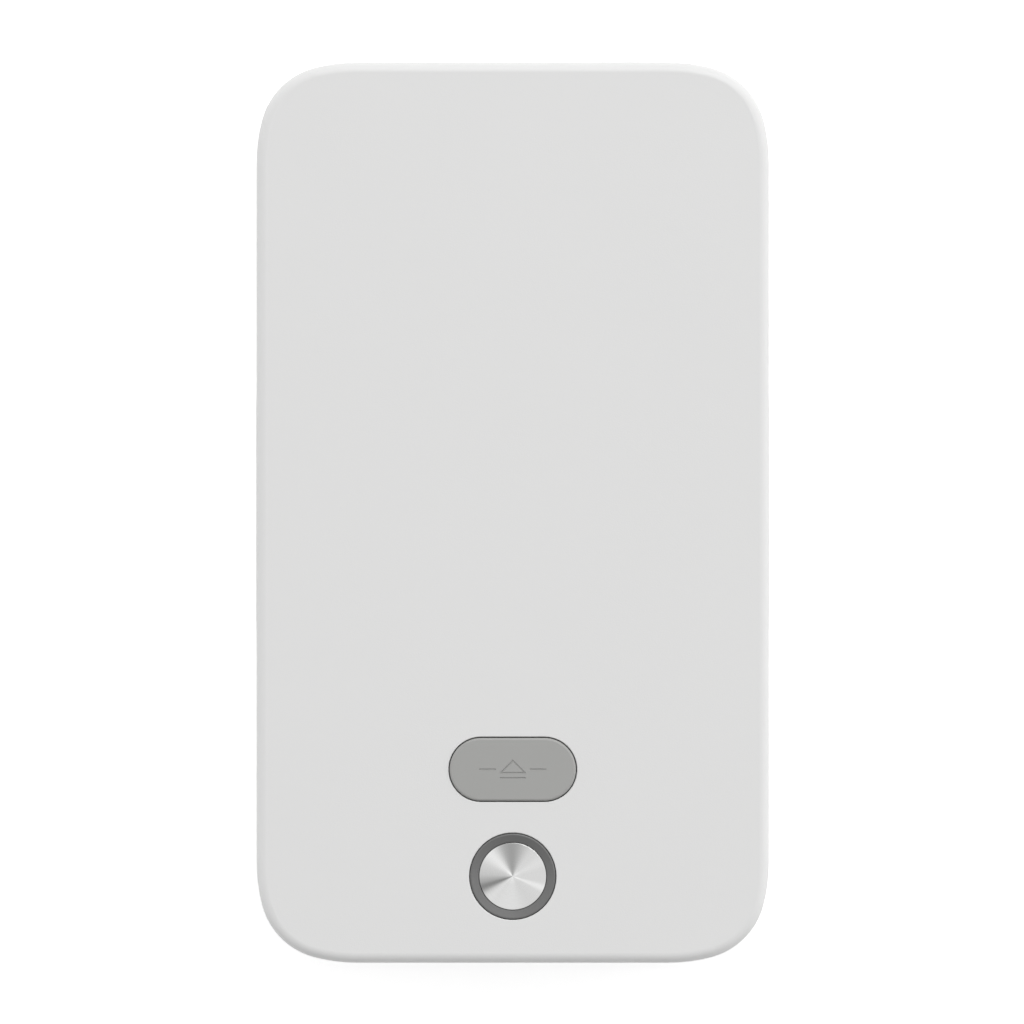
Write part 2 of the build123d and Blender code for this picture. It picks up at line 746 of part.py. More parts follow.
def base_shell():
    """Lower case: walls, lip, screw bosses, hinge ears, grips and the openings in its ends."""
    shell = fillet(bottom_edges(slab(0, 0, SEAM_Z)), BACK_FILLET)
    shell = chamfer(top_edges(shell), SEAM_CHAMFER)
    shell += slab(WALL - LIP_WALL, SEAM_Z - 1, SEAM_Z + LIP_HEIGHT)
    inside = fillet(
        bottom_edges(slab(WALL, BACK_WALL, SEAM_Z + 2 * LIP_HEIGHT)), BACK_FILLET - WALL
    )
    shell -= inside
    grip = side_grip()
    shell += grip
    shell += mirror(grip, about=Plane.YZ)
    shell += exit_pad(BAY_FLOOR_Z, SEAM_Z - SEAM_CHAMFER)
    shell -= exit_cut(BAY_Z, SEAM_Z + 2 * LIP_HEIGHT)
    shell -= block(
        TAPE_X - EXIT_LEFT - EXIT_PAD, TAPE_X + EXIT_RIGHT + EXIT_PAD,
        POCKET_END, HALF_LENGTH, SEAM_Z, SEAM_Z + 2 * LIP_HEIGHT,
    )
    for x, y in CHASSIS_BOSSES:
        shell += post(x, y, BOSS_RADIUS, BACK_WALL - 0.1, DECK_Z)
        shell -= post(x, y, SCREW_RADIUS, DECK_Z - SCREW_LENGTH, DECK_Z + 1)
    for x, y in BOARD_SCREWS:
        shell += post(x, y, BOSS_RADIUS, BACK_WALL - 0.1, BOARD_Z)
        shell -= post(x, y, SCREW_RADIUS, BOARD_Z - SCREW_LENGTH / 2, BOARD_Z + 1)
    shell += battery_ribs()
    socket = SHAFT_RADIUS + SHAFT_RUNNING_GAP
    shell += post(PLATEN_X, PLATEN_Y, socket + FOOT_WALL, BACK_WALL - 0.1, LOW_GEAR_Z - FOOT_GAP)
    shell -= post(PLATEN_X, PLATEN_Y, socket, BACK_WALL, LOW_GEAR_Z)
    for y in (-HINGE_Y, HINGE_Y):
        for side in (-1, 1):
            near = y + side * (TAB_WIDTH / 2 + TAB_GAP)
            far = near + side * EAR_WIDTH
            shell += block(
                -INNER_X - 0.1, HINGE_X + BARREL_RADIUS, min(near, far), max(near, far),
                HINGE_Z - EAR_HEIGHT / 2, HINGE_Z + EAR_HEIGHT / 2,
            )
        shell -= Pos(0, y, 0) * notch_shape()
        half = TAB_WIDTH / 2 + TAB_GAP + EAR_WIDTH
        shell -= rod_y(HINGE_X, HINGE_Z, HINGE_PIN_RADIUS, y - half, y + half)
    for y in HOOK_Y:
        shell += rod_x(y, keeper_peg_z(), PEG_RADIUS, INNER_X - PEG_LENGTH, INNER_X + 0.1)
    shell -= usb_mouth()
    recess = block(
        -RECESS_LENGTH / 2, RECESS_LENGTH / 2,
        BAY_Y - 3 - RECESS_WIDTH / 2, BAY_Y - 3 + RECESS_WIDTH / 2, -1, RECESS_DEPTH,
    )
    shell -= fillet(recess.edges().filter_by(Axis.Z), RECESS_CORNER)
    return shell


def battery_ribs():
    """Low ribs on the back wall that keep the battery in place."""
    z0 = BACK_WALL - 0.1
    z1 = BACK_WALL + BATTERY_HEIGHT / 2
    ribs = []
    for side in (-1, 1):
        near_x = BAY_X + side * (BATTERY_WIDTH / 2 + RIB_GAP)
        far_x = near_x + side * RIB_WALL
        near_y = BAY_Y + side * (BATTERY_LENGTH / 2 + RIB_GAP)
        far_y = near_y + side * RIB_WALL
        ribs.append(
            block(min(near_x, far_x), max(near_x, far_x), BAY_Y - RIB_HALF, BAY_Y + RIB_HALF, z0, z1)
        )
        ribs.append(
            block(BAY_X - RIB_HALF, BAY_X + RIB_HALF, min(near_y, far_y), max(near_y, far_y), z0, z1)
        )
    return ribs


def keeper_peg_z():
    """Height of the pegs that hold the latch keepers."""
    return HOOK_BARB_TOP + KEEPER_GAP - KEEPER_LENGTH / 2


def usb_mouth():
    """Slot in the bottom end for the charging plug."""
    face = Plane(
        (0, -HALF_LENGTH - 1, BOARD_TOP + USB_HEIGHT / 2), x_dir=(1, 0, 0), z_dir=(0, -1, 0)
    ) * SlotOverall(USB_WIDTH + 2 * USB_MOUTH_GAP, USB_HEIGHT + 2 * USB_MOUTH_GAP)
    return extrude(face, amount=WALL + 2, dir=(0, 1, 0))


def chassis_frame():
    """Inner frame: deck, roll bay, mechanism pocket and the floor that carries the motor."""
    deck = slab(WALL + FRAME_GAP, DECK_Z, DECK_TOP)
    well = post(BAY_X, BAY_Y, WELL_RADIUS, BAY_FLOOR_Z, DECK_TOP)
    pocket = block(
        POCKET_X - FRAME_WALL, POCKET_RIGHT + FRAME_WALL, POCKET_Y, POCKET_END + FRAME_WALL,
        BAY_FLOOR_Z, DECK_TOP,
    )
    motor_floor = block(
        MOTOR_WALL_X, POCKET_X, BAY_Y + BAY_RADIUS - 2, POCKET_END + FRAME_WALL, BAY_FLOOR_Z, BAY_Z
    )
    motor_wall = block(
        MOTOR_WALL_X, MOTOR_WALL_X + FRAME_WALL, BAY_Y + BAY_RADIUS - 2, POCKET_END + FRAME_WALL,
        BAY_FLOOR_Z, DECK_TOP,
    )
    frame = deck + well + pocket + motor_floor + motor_wall
    frame &= slab(WALL + FRAME_GAP, BAY_FLOOR_Z, DECK_TOP)
    frame -= post(BAY_X, BAY_Y, BAY_RADIUS, BAY_Z, DECK_TOP + 1)
    frame -= block(
        POCKET_X, POCKET_RIGHT, POCKET_Y + FRAME_WALL, POCKET_END, BAY_Z, DECK_TOP + 1
    )
    frame -= exit_cut(BAY_Z, DECK_TOP + 1)
    blade_x = TAPE_X + BLADE_X_GAP + BLADE_THICKNESS
    frame += block(
        blade_x, blade_x + BLADE_BLOCK, blade_tail(), POCKET_END + 0.1, BAY_Z - 0.1, DECK_TOP
    )
    for z in blade_pegs():
        frame += rod_x(
            blade_tail() + BLADE_PEG_INSET, z, BLADE_PEG_RADIUS, blade_x - BLADE_THICKNESS, blade_x + 0.1
        )
    for x, y in CHASSIS_BOSSES:
        frame -= post(x, y, SCREW_RADIUS + SCREW_HOLE_GAP, DECK_Z - 1, DECK_TOP + 1)
    for y in HOOK_Y:
        half = HOOK_WIDTH / 2 + 0.5
        frame -= block(ARM_INNER_X - OPEN_TRAVEL, INNER_X, y - half, y + half, DECK_Z - 1, DECK_TOP + 1)
    frame -= post(0, POWER_Y, LIGHT_HOLE_RADIUS, DECK_Z - 1, DECK_TOP + 1)
    frame -= post(PLATEN_X, PLATEN_Y, BUSH_RADIUS, BAY_FLOOR_Z - 1, BAY_Z + 1)
    frame -= post(REDUCTION_X, PLATEN_Y, AXLE_RADIUS, BAY_FLOOR_Z - 1, BAY_Z + 1)
    frame -= post(MOTOR_X, PLATEN_Y, MOTOR_BOSS_RADIUS, BAY_FLOOR_Z - 1, BAY_Z + 1)
    frame -= post(HEAD_PIN_X, HEAD_PIN_Y, HEAD_PIN_RADIUS, BAY_FLOOR_Z - 1, BAY_Z + 1)
    frame -= rod_x(
        PLATEN_Y, BAY_Z + MOTOR_HEIGHT / 2, MOTOR_LEAD_RADIUS + FRAME_GAP,
        MOTOR_WALL_X - 1, MOTOR_WALL_X + FRAME_WALL + 1,
    )
    for side in (-1, 1):
        y = PLATEN_Y + side * MOTOR_EAR_PITCH
        frame -= post(MOTOR_X, y, COVER_SCREW_RADIUS, BAY_FLOOR_Z - 1, BAY_Z + 1)
    frame += rod_x(
        HEAD_SPRING_Y, HEAD_SPRING_Z, HEAD_SPRING_PEG,
        POCKET_RIGHT - 1.2 * HEAD_SPRING_PEG, POCKET_RIGHT + 0.1,
    )
    return frame


def chassis_screws():
    """Six screws that hold the frame to the case bosses."""
    one = screw(SCREW_RADIUS, SCREW_HEAD_RADIUS, SCREW_HEAD, SCREW_LENGTH)
    return [Pos(x, y, DECK_TOP) * one for x, y in CHASSIS_BOSSES]


def battery_pack():
    """Flat pouch cell under the roll bay."""
    cell = block(
        BAY_X - BATTERY_WIDTH / 2, BAY_X + BATTERY_WIDTH / 2,
        BAY_Y - BATTERY_LENGTH / 2, BAY_Y + BATTERY_LENGTH / 2,
        BACK_WALL, BACK_WALL + BATTERY_HEIGHT,
    )
    cell = fillet(cell.edges().filter_by(Axis.Z), BATTERY_CORNER)
    return fillet(top_edges(cell), BATTERY_ROUNDING)


def battery_lead():
    """Two wires from the battery's end up to their plug on the board."""
    start_y = BAY_Y - BATTERY_LENGTH / 2
    end_y = BOARD_TOP_Y + BATTERY_PLUG_WIDTH / 2 - BATTERY_PLUG_DOWN
    low = BACK_WALL + BATTERY_HEIGHT / 2 + WIRE_RADIUS
    high = BOARD_TOP + BATTERY_PLUG_HEIGHT / 2
    wires = []
    for x in (BATTERY_PLUG_X - WIRE_APART / 2, BATTERY_PLUG_X + WIRE_APART / 2):
        path = FilletPolyline(
            (x, start_y, low), (x, start_y - WIRE_STRAIGHT, low),
            (x, BOARD_TOP_Y + WIRE_APART, high), (x, end_y, high), radius=WIRE_BEND,
        )
        section = Plane((x, start_y, low), z_dir=(0, -1, 0)) * Circle(WIRE_RADIUS)
        wires.append(sweep(section, path=path))
    return wires


def roll_tag_antenna():
    """Flat coil board stuck under the roll bay, which reads the tag in a roll."""
    ring = post(BAY_X, BAY_Y, ANTENNA_RADIUS, BAY_FLOOR_Z - ANTENNA_THICKNESS, BAY_FLOOR_Z)
    return ring - post(BAY_X, BAY_Y, ANTENNA_HOLE, BAY_FLOOR_Z - 1, BAY_FLOOR_Z + 1)


def main_board():
    """Circuit board on its four bosses."""
    board = block(
        -BOARD_WIDTH / 2, BOARD_WIDTH / 2, BOARD_END_Y, BOARD_TOP_Y, BOARD_Z, BOARD_TOP
    )
    board = fillet(board.edges().filter_by(Axis.Z), BOARD_CORNER)
    for x, y in BOARD_SCREWS:
        board -= post(x, y, SCREW_RADIUS + SCREW_HOLE_GAP, BOARD_Z - 1, BOARD_TOP + 1)
    return board


def board_screws():
    """Four screws that hold the board."""
    one = screw(SCREW_RADIUS, SCREW_HEAD_RADIUS, SCREW_HEAD, SCREW_LENGTH / 2)
    return [Pos(x, y, BOARD_TOP) * one for x, y in BOARD_SCREWS]


def on_board(x, y, length, width, height):
    """Rectangular component seated on the board."""
    return block(
        x - length / 2, x + length / 2, y - width / 2, y + width / 2, BOARD_TOP, BOARD_TOP + height
    )


def board_chips():
    """Processor, memory, charger, motor driver and coil on the board."""
    processor = on_board(
        PROCESSOR_X, POWER_Y + PROCESSOR_UP, PROCESSOR_SIDE, PROCESSOR_SIDE, CHIP_HEIGHT
    )
    memory = on_board(MEMORY_X, BOARD_TOP_Y - MEMORY_DOWN, MEMORY_LENGTH, MEMORY_WIDTH, CHIP_HEIGHT)
    charger = on_board(CHARGER_X, POWER_Y + CHARGER_UP, CHARGER_SIDE, CHARGER_SIDE, CHIP_HEIGHT)
    driver_x = BOARD_WIDTH / 2 - DRIVER_FROM_SIDE
    driver = on_board(driver_x, BOARD_TOP_Y - DRIVER_DOWN, DRIVER_LENGTH, DRIVER_WIDTH, CHIP_HEIGHT)
    coil = on_board(COIL_X, POWER_Y + COIL_UP, COIL_SIDE, COIL_SIDE, COIL_HEIGHT)
    return [processor, memory, charger, driver, coil]


def board_connectors():
    """Sockets for the battery, the print head and the motor."""
    battery = on_board(
        BATTERY_PLUG_X, BOARD_TOP_Y - BATTERY_PLUG_DOWN,
        BATTERY_PLUG_LENGTH, BATTERY_PLUG_WIDTH, BATTERY_PLUG_HEIGHT,
    )
    head = on_board(
        HEAD_PLUG_X, BOARD_TOP_Y - HEAD_PLUG_DOWN,
        HEAD_PLUG_LENGTH, HEAD_PLUG_WIDTH, HEAD_PLUG_HEIGHT,
    )
    motor = on_board(
        MOTOR_PLUG_X, BOARD_TOP_Y - MOTOR_PLUG_DOWN,
        MOTOR_PLUG_LENGTH, MOTOR_PLUG_WIDTH, MOTOR_PLUG_HEIGHT,
    )
    return [battery, head, motor]


def radio_shield():
    """Pressed can over the radio."""
    x = SHIELD_FROM_SIDE - BOARD_WIDTH / 2
    y = POWER_Y + SHIELD_UP
    can = on_board(x, y, SHIELD_LENGTH, SHIELD_WIDTH, SHIELD_HEIGHT)
    can = fillet(can.edges().filter_by(Axis.Z), 2 * SHIELD_WALL)
    can = fillet(top_edges(can), SHIELD_WALL)
    half_length = SHIELD_LENGTH / 2 - SHIELD_WALL
    half_width = SHIELD_WIDTH / 2 - SHIELD_WALL
    hollow = block(
        x - half_length, x + half_length, y - half_width, y + half_width,
        BOARD_TOP - 1, BOARD_TOP + SHIELD_HEIGHT - SHIELD_TOP,
    )
    return can - hollow


def power_switch_body():
    """Push switch under the power button, with a bore for its plunger."""
    body = on_board(0, POWER_Y, SWITCH_SIDE, SWITCH_SIDE, SWITCH_HEIGHT)
    body = fillet(body.edges().filter_by(Axis.Z), 0.6)
    bore = PLUNGER_RADIUS + STEM_RUNNING_GAP
    return body - post(0, POWER_Y, bore, SWITCH_TOP - PLUNGER_HEIGHT - PLUNGER_TRAVEL, SWITCH_TOP + 1)


def switch_plunger():
    """Moving top of the push switch."""
    return post(0, POWER_Y, PLUNGER_RADIUS, SWITCH_TOP - PLUNGER_HEIGHT + 0.1, PLUNGER_TOP)


def status_leds():
    """Three small lamps round the switch that light the ring."""
    away = SWITCH_SIDE / 2 + LED_FROM_SWITCH
    lamps = [
        on_board(side * away, POWER_Y, LED_WIDTH, LED_LENGTH, LED_HEIGHT) for side in (-1, 1)
    ]
    lamps.append(on_board(0, POWER_Y + away, LED_LENGTH, LED_WIDTH, LED_HEIGHT))
    return lamps


def usb_pill(inset, y0, y1):
    """Slot-shaped bar along Y at the charging socket."""
    face = Plane(
        (0, y0, BOARD_TOP + USB_HEIGHT / 2), x_dir=(1, 0, 0), z_dir=(0, -1, 0)
    ) * SlotOverall(USB_WIDTH - 2 * inset, USB_HEIGHT - 2 * inset)
    return extrude(face, amount=y1 - y0, dir=(0, 1, 0))


def usb_shell():
    """Drawn steel shell of the charging socket."""
    mouth = -HALF_LENGTH + USB_INSET
    back = mouth + USB_DEPTH
    return usb_pill(0, mouth, back) - usb_pill(USB_SHELL, mouth - 1, back - USB_SHELL)


def usb_tongue():
    """Contact tongue inside the charging socket."""
    mouth = -HALF_LENGTH + USB_INSET
    back = mouth + USB_DEPTH - USB_SHELL
    middle = BOARD_TOP + USB_HEIGHT / 2
    tongue = block(
        -TONGUE_WIDTH / 2, TONGUE_WIDTH / 2, mouth + TONGUE_INSET, back,
        middle - TONGUE_THICKNESS / 2, middle + TONGUE_THICKNESS / 2,
    )
    return tongue + usb_pill(USB_SHELL, back - TONGUE_ROOT, back)


def hinge_pins():
    """Two steel pins pressed into the ears of the base."""
    half = TAB_WIDTH / 2 + TAB_GAP + EAR_WIDTH
    return [
        rod_y(HINGE_X, HINGE_Z, HINGE_PIN_RADIUS, y - half, y + half) for y in (-HINGE_Y, HINGE_Y)
    ]


def keeper_springs():
    """Two spring-steel clips on the right wall that the latch hooks catch under."""
    lip_z = HOOK_BARB_TOP + KEEPER_GAP
    clips = []
    for y in HOOK_Y:
        half = KEEPER_WIDTH / 2
        leg = block(
            INNER_X - KEEPER_THICKNESS, INNER_X, y - half, y + half,
            lip_z + KEEPER_THICKNESS - KEEPER_LENGTH, lip_z + KEEPER_THICKNESS,
        )
        lip = block(INNER_X - KEEPER_LIP, INNER_X, y - half, y + half, lip_z, lip_z + KEEPER_THICKNESS)
        clips.append(leg + lip - rod_x(y, keeper_peg_z(), PEG_RADIUS, INNER_X - 2, INNER_X + 1))
    return clips


def motor_body():
    """Can-stack stepper motor standing on the mechanism floor."""
    can = post(MOTOR_X, PLATEN_Y, MOTOR_RADIUS, BAY_Z, BAY_Z + MOTOR_HEIGHT)
    can = fillet(top_edges(can), 0.6)
    flange = extrude(
        Pos(MOTOR_X, PLATEN_Y, BAY_Z)
        * Rot(0, 0, 90)
        * SlotCenterToCenter(2 * MOTOR_EAR_PITCH, 2 * MOTOR_EAR_RADIUS),
        amount=MOTOR_FLANGE,
    )
    motor = can + flange
    motor += post(MOTOR_X, PLATEN_Y, MOTOR_BOSS_RADIUS, BAY_FLOOR_Z + 0.2, BAY_Z + 1)
    for side in (-1, 1):
        y = PLATEN_Y + side * MOTOR_EAR_PITCH
        motor -= post(MOTOR_X, y, COVER_SCREW_RADIUS + 0.15, BAY_Z - 1, BAY_Z + 2)
    bore = MOTOR_SHAFT_RADIUS + SHAFT_RUNNING_GAP
    motor -= post(MOTOR_X, PLATEN_Y, bore, BAY_FLOOR_Z - 1, BAY_Z + MOTOR_SHAFT_INSIDE + 0.2)
    return motor


def motor_lead():
    """Sleeved wires from the motor round the roll bay to their plug on the board."""
    level = BAY_Z + MOTOR_HEIGHT / 2
    start = (MOTOR_X - MOTOR_RADIUS, PLATEN_Y, level)
    plug_z = BOARD_TOP + MOTOR_LEAD_RADIUS
    plug_y = BOARD_TOP_Y + MOTOR_PLUG_WIDTH / 2 - MOTOR_PLUG_DOWN
    beside = BAY_X - WELL_RADIUS - MOTOR_LEAD_CLEAR
    path = FilletPolyline(
        start,
        (MOTOR_WALL_X - MOTOR_LEAD_STRAIGHT, PLATEN_Y, level),
        (MOTOR_WALL_X - MOTOR_LEAD_STRAIGHT - MOTOR_LEAD_CLEAR, PLATEN_Y - MOTOR_LEAD_RUN, level),
        (BAY_X - BAY_RADIUS, BAY_Y + LEFT_BOSS_FROM_BAY, level),
        (beside, BAY_Y - MOTOR_LEAD_CLEAR, level),
        (beside + MOTOR_LEAD_BEND, BAY_Y + MOTOR_LEAD_BEND - MOTOR_LEAD_RUN, level),
        (MOTOR_PLUG_X - MOTOR_LEAD_STRAIGHT, BOARD_TOP_Y + MOTOR_LEAD_CLEAR, plug_z + SHIELD_WALL),
        (MOTOR_PLUG_X, BOARD_TOP_Y + MOTOR_LEAD_CLEAR, plug_z),
        (MOTOR_PLUG_X, plug_y, plug_z),
        radius=MOTOR_LEAD_BEND,
    )
    return sweep(Plane(start, z_dir=(-1, 0, 0)) * Circle(MOTOR_LEAD_RADIUS), path=path)


def motor_screws():
    """Two screws through the motor's ears."""
    one = screw(COVER_SCREW_RADIUS, COVER_SCREW_HEAD_RADIUS, COVER_SCREW_HEAD, FRAME_WALL + MOTOR_FLANGE)
    return [
        Pos(MOTOR_X, PLATEN_Y + side * MOTOR_EAR_PITCH, BAY_Z + MOTOR_FLANGE) * one
        for side in (-1, 1)
    ]


def motor_shaft():
    """Motor shaft, which comes out through the mechanism floor."""
    return post(
        MOTOR_X, PLATEN_Y, MOTOR_SHAFT_RADIUS, HIGH_GEAR_Z - 0.2, BAY_Z + MOTOR_SHAFT_INSIDE
    )


def motor_pinion():
    """Brass pinion on the motor shaft."""
    wheel = gear(PINION_TEETH, pi / PINION_TEETH, HIGH_GEAR_Z, HIGH_GEAR_TOP)
    wheel -= post(0, 0, MOTOR_SHAFT_RADIUS, HIGH_GEAR_Z - 1, HIGH_GEAR_TOP + 1)
    return Pos(MOTOR_X, PLATEN_Y, 0) * wheel


def reduction_gear():
    """Double gear between the motor and the platen."""
    wheel = gear(REDUCTION_LARGE_TEETH, 0, HIGH_GEAR_Z, HIGH_GEAR_TOP)
    small = gear(REDUCTION_SMALL_TEETH, pi / REDUCTION_SMALL_TEETH, LOW_GEAR_Z, HIGH_GEAR_Z)
    wheel += small
    wheel -= post(0, 0, AXLE_RADIUS + SHAFT_RUNNING_GAP, 0, HIGH_GEAR_TOP + 1)
    return Pos(REDUCTION_X, PLATEN_Y, 0) * wheel


def idler_axle():
    """Steel axle of the double gear, from the back wall up into the frame."""
    return post(REDUCTION_X, PLATEN_Y, AXLE_RADIUS, BACK_WALL, BAY_Z)


def platen_gear():
    """Gear on the lower end of the platen shaft."""
    wheel = gear(PLATEN_TEETH, 0, LOW_GEAR_Z, LOW_GEAR_Z + GEAR_FACE)
    wheel -= post(0, 0, SHAFT_RADIUS, 0, LOW_GEAR_Z + GEAR_FACE + 1)
    return Pos(PLATEN_X, PLATEN_Y, 0) * wheel


def platen_shaft():
    """Steel shaft of the platen roller."""
    shaft = post(
        PLATEN_X, PLATEN_Y, SHAFT_RADIUS, BACK_WALL + 0.2,
        LABEL_TOP - ROLLER_CLEAR + SHAFT_ABOVE_ROLLER,
    )
    return chamfer(top_edges(shaft), 0.3)


def platen_roller():
    """Rubber sleeve that feeds the labels."""
    low = BAY_Z + BUSH_FLANGE + ROLLER_CLEAR
    sleeve = post(PLATEN_X, PLATEN_Y, PLATEN_RADIUS, low, LABEL_TOP - ROLLER_CLEAR)
    sleeve = fillet(sleeve.edges().group_by(Axis.Z)[0], 0.3)
    sleeve = fillet(top_edges(sleeve), 0.3)
    return sleeve - post(PLATEN_X, PLATEN_Y, SHAFT_RADIUS, low - 1, LABEL_TOP)


def platen_bush():
    """Flanged brass bush in the mechanism floor."""
    bush = post(PLATEN_X, PLATEN_Y, BUSH_RADIUS, BAY_FLOOR_Z, BAY_Z)
    bush += post(PLATEN_X, PLATEN_Y, BUSH_FLANGE_RADIUS, BAY_Z, BAY_Z + BUSH_FLANGE)
    return bush - post(PLATEN_X, PLATEN_Y, SHAFT_RADIUS + SHAFT_RUNNING_GAP, 0, HEIGHT)


def head_pivot_pin():
    """Steel pin that the print head swings on."""
    pin = post(HEAD_PIN_X, HEAD_PIN_Y, HEAD_PIN_RADIUS, BAY_FLOOR_Z, LABEL_TOP + 0.3)
    return chamfer(top_edges(pin), 0.3)


def head_arm():
    """Metal carrier and heat sink of the print head."""
    low = BAY_Z + BUSH_FLANGE
    arm = block(ARM_X, ARM_BACK_X, HEAD_PIN_Y, HEAD_PIN_Y + HEAD_ARM_LENGTH, low, LABEL_TOP)
    for i in range(FIN_COUNT):
        y = HEAD_PIN_Y + FIN_FROM_PIN + i * FIN_PITCH
        arm -= block(
            ARM_BACK_X - FIN_DEPTH, ARM_BACK_X + 1, y - FIN_SLOT / 2, y + FIN_SLOT / 2,
            HEAD_SPRING_Z + FIN_ABOVE_SPRING, LABEL_TOP + 1,
        )
    arm += post(HEAD_PIN_X, HEAD_PIN_Y, HEAD_KNUCKLE_RADIUS, low, LABEL_TOP)
    return arm - post(HEAD_PIN_X, HEAD_PIN_Y, HEAD_PIN_RADIUS + SHAFT_RUNNING_GAP, low - 1, LABEL_TOP + 1)


def thermal_head():
    """Ceramic plate with the line of heating dots, facing the platen."""
    plate = block(
        HEAD_X, ARM_X, PLATEN_Y - HEAD_LENGTH / 2, PLATEN_Y + HEAD_LENGTH / 2,
        BAY_Z + BUSH_FLANGE + ROLLER_CLEAR, LABEL_TOP - ROLLER_CLEAR,
    )
    return chamfer(plate.edges().filter_by(Axis.Z).group_by(Axis.X)[0], 0.3)


def head_spring():
    """Spring that presses the head on the platen."""
    coil = coil_spring(
        "head_spring", HEAD_SPRING_RADIUS, HEAD_SPRING_WIRE, HEAD_SPRING_LENGTH, HEAD_SPRING_TURNS
    )
    return Pos(ARM_BACK_X, HEAD_SPRING_Y, HEAD_SPRING_Z) * Rot(0, 90, 0) * coil


def blade_tail():
    """Inner end of the tear blade."""
    return HALF_LENGTH + EXIT_PROUD - BLADE_LENGTH


def blade_pegs():
    """Heights of the two pegs that hold the blade."""
    return (BAY_Z + BLADE_PEG_EDGE, DECK_TOP - BLADE_PEG_EDGE)


def tear_blade():
    """Toothed steel blade beside the label exit."""
    x0 = TAPE_X + BLADE_X_GAP
    x1 = x0 + BLADE_THICKNESS
    edge = HALF_LENGTH + EXIT_PROUD
    low = BAY_Z + 0.2
    high = LABEL_TOP
    pitch = (high - low) / BLADE_TEETH
    points = [(x0, blade_tail(), low), (x0, edge - BLADE_TOOTH, low)]
    for i in range(BLADE_TEETH):
        points.append((x0, edge, low + (i + 0.5) * pitch))
        points.append((x0, edge - BLADE_TOOTH, low + (i + 1) * pitch))
    points.append((x0, blade_tail(), high))
    blade = extrude(make_face(Polyline(*points, close=True)), amount=x1 - x0, dir=(1, 0, 0))
    for z in blade_pegs():
        blade -= rod_x(blade_tail() + BLADE_PEG_INSET, z, BLADE_PEG_RADIUS, x0 - 1, x1 + 1)
    return blade


def gap_sensor():
    """Optical sensor that finds the gap between two labels."""
    x1 = TAPE_X - SENSOR_GAP
    y = HEAD_PIN_Y - SENSOR_BEHIND_PIN
    half = SENSOR_LENGTH / 2
    body = block(x1 - SENSOR_THICKNESS, x1, y - half, y + half, BAY_Z, BAY_Z + SENSOR_HEIGHT)
    body = fillet(body.edges().filter_by(Axis.Z), SENSOR_WINDOW_DEPTH)
    middle = BAY_Z + SENSOR_HEIGHT / 2
    return body - rod_x(y, middle, SENSOR_WINDOW, x1 - SENSOR_WINDOW_DEPTH, x1 + 1)


def hole_edges(shell):
    """Edges of the two button holes in the front face."""
    rims = shell.edges().filter_by_position(Axis.Z, HEIGHT - TOUCH, HEIGHT + TOUCH)
    rims = rims.filter_by_position(Axis.X, -OPEN_LENGTH / 2, OPEN_LENGTH / 2)
    return rims.filter_by_position(Axis.Y, POWER_Y - RING_RADIUS, OPEN_Y + OPEN_WIDTH)


def front_cover():
    """Upper case with the front face, its hinge tabs and the bosses behind the face."""
    low = SEAM_Z + SEAM_GAP
    shell = fillet(top_edges(slab(0, low, HEIGHT)), FACE_FILLET)
    shell -= slab(WALL, low - 1, FACE_INSIDE)
    shell += exit_pad(low, LABEL_TOP + 1.0)
    shell -= slab(WALL - LIP_WALL - LIP_GAP, low - 1, SEAM_Z + LIP_HEIGHT + SEAM_GAP)
    shell -= exit_cut(low - 1, LABEL_TOP + 0.6)
    for y in (-HINGE_Y, HINGE_Y):
        half = TAB_WIDTH / 2
        shell += block(
            -HALF_WIDTH, WALL - HALF_WIDTH, y - half, y + half, HINGE_Z, low + 2 * LIP_HEIGHT
        )
        shell += rod_y(HINGE_X, HINGE_Z, BARREL_RADIUS, y - half, y + half)
        bore = HINGE_PIN_RADIUS + HINGE_RUNNING_GAP
        shell -= rod_y(HINGE_X, HINGE_Z, bore, y - half - 1, y + half + 1)
    shell -= pill(0, OPEN_Y, OPEN_LENGTH, OPEN_WIDTH, FACE_INSIDE - 1, HEIGHT + 1)
    shell += post(0, POWER_Y, POWER_BOSS_RADIUS, POWER_BOSS_Z, FACE_INSIDE + 0.1)
    shell -= post(0, POWER_Y, POWER_BOSS_RADIUS - POWER_BOSS_WALL, POWER_FLOOR_TOP, FACE_INSIDE)
    shell -= post(0, POWER_Y, RING_RADIUS + RING_GAP, FACE_INSIDE - 1, HEIGHT + 1)
    shell = fillet(hole_edges(shell), HOLE_ROUNDING)
    shell -= post(0, POWER_Y, STEM_RADIUS + STEM_RUNNING_GAP, POWER_BOSS_Z - 1, POWER_FLOOR_TOP + 1)
    for x, y in HOUSING_SCREWS:
        shell += post(x, y, COVER_BOSS_RADIUS, HOUSING_TOP, FACE_INSIDE + 0.1)
        shell -= post(x, y, COVER_SCREW_RADIUS, HOUSING_TOP - 1, HOUSING_TOP + HOUSING_HOLE_DEPTH)
    for x, y in LINER_SCREWS:
        shell += post(x, y, COVER_BOSS_RADIUS, LINER_TOP, FACE_INSIDE + 0.1)
        shell -= post(x, y, COVER_SCREW_RADIUS, LINER_TOP - 1, LINER_TOP + LINER_HOLE_DEPTH)
    for y in (LATCH_SPRING_Y - GUIDE_RIB_FROM_SPRING, BAY_Y + GUIDE_RIB_FROM_BAY):
        shell += block(
            ARM_INNER_X - GUIDE_RIB_OVERLAP, ARM_OUTER_X + GUIDE_RIB_OVERLAP,
            y - GUIDE_RIB_HALF, y + GUIDE_RIB_HALF,
            SLIDE_Z + ARM_HEIGHT + SLIDE_GAP, FACE_INSIDE + 0.1,
        )
    return shell


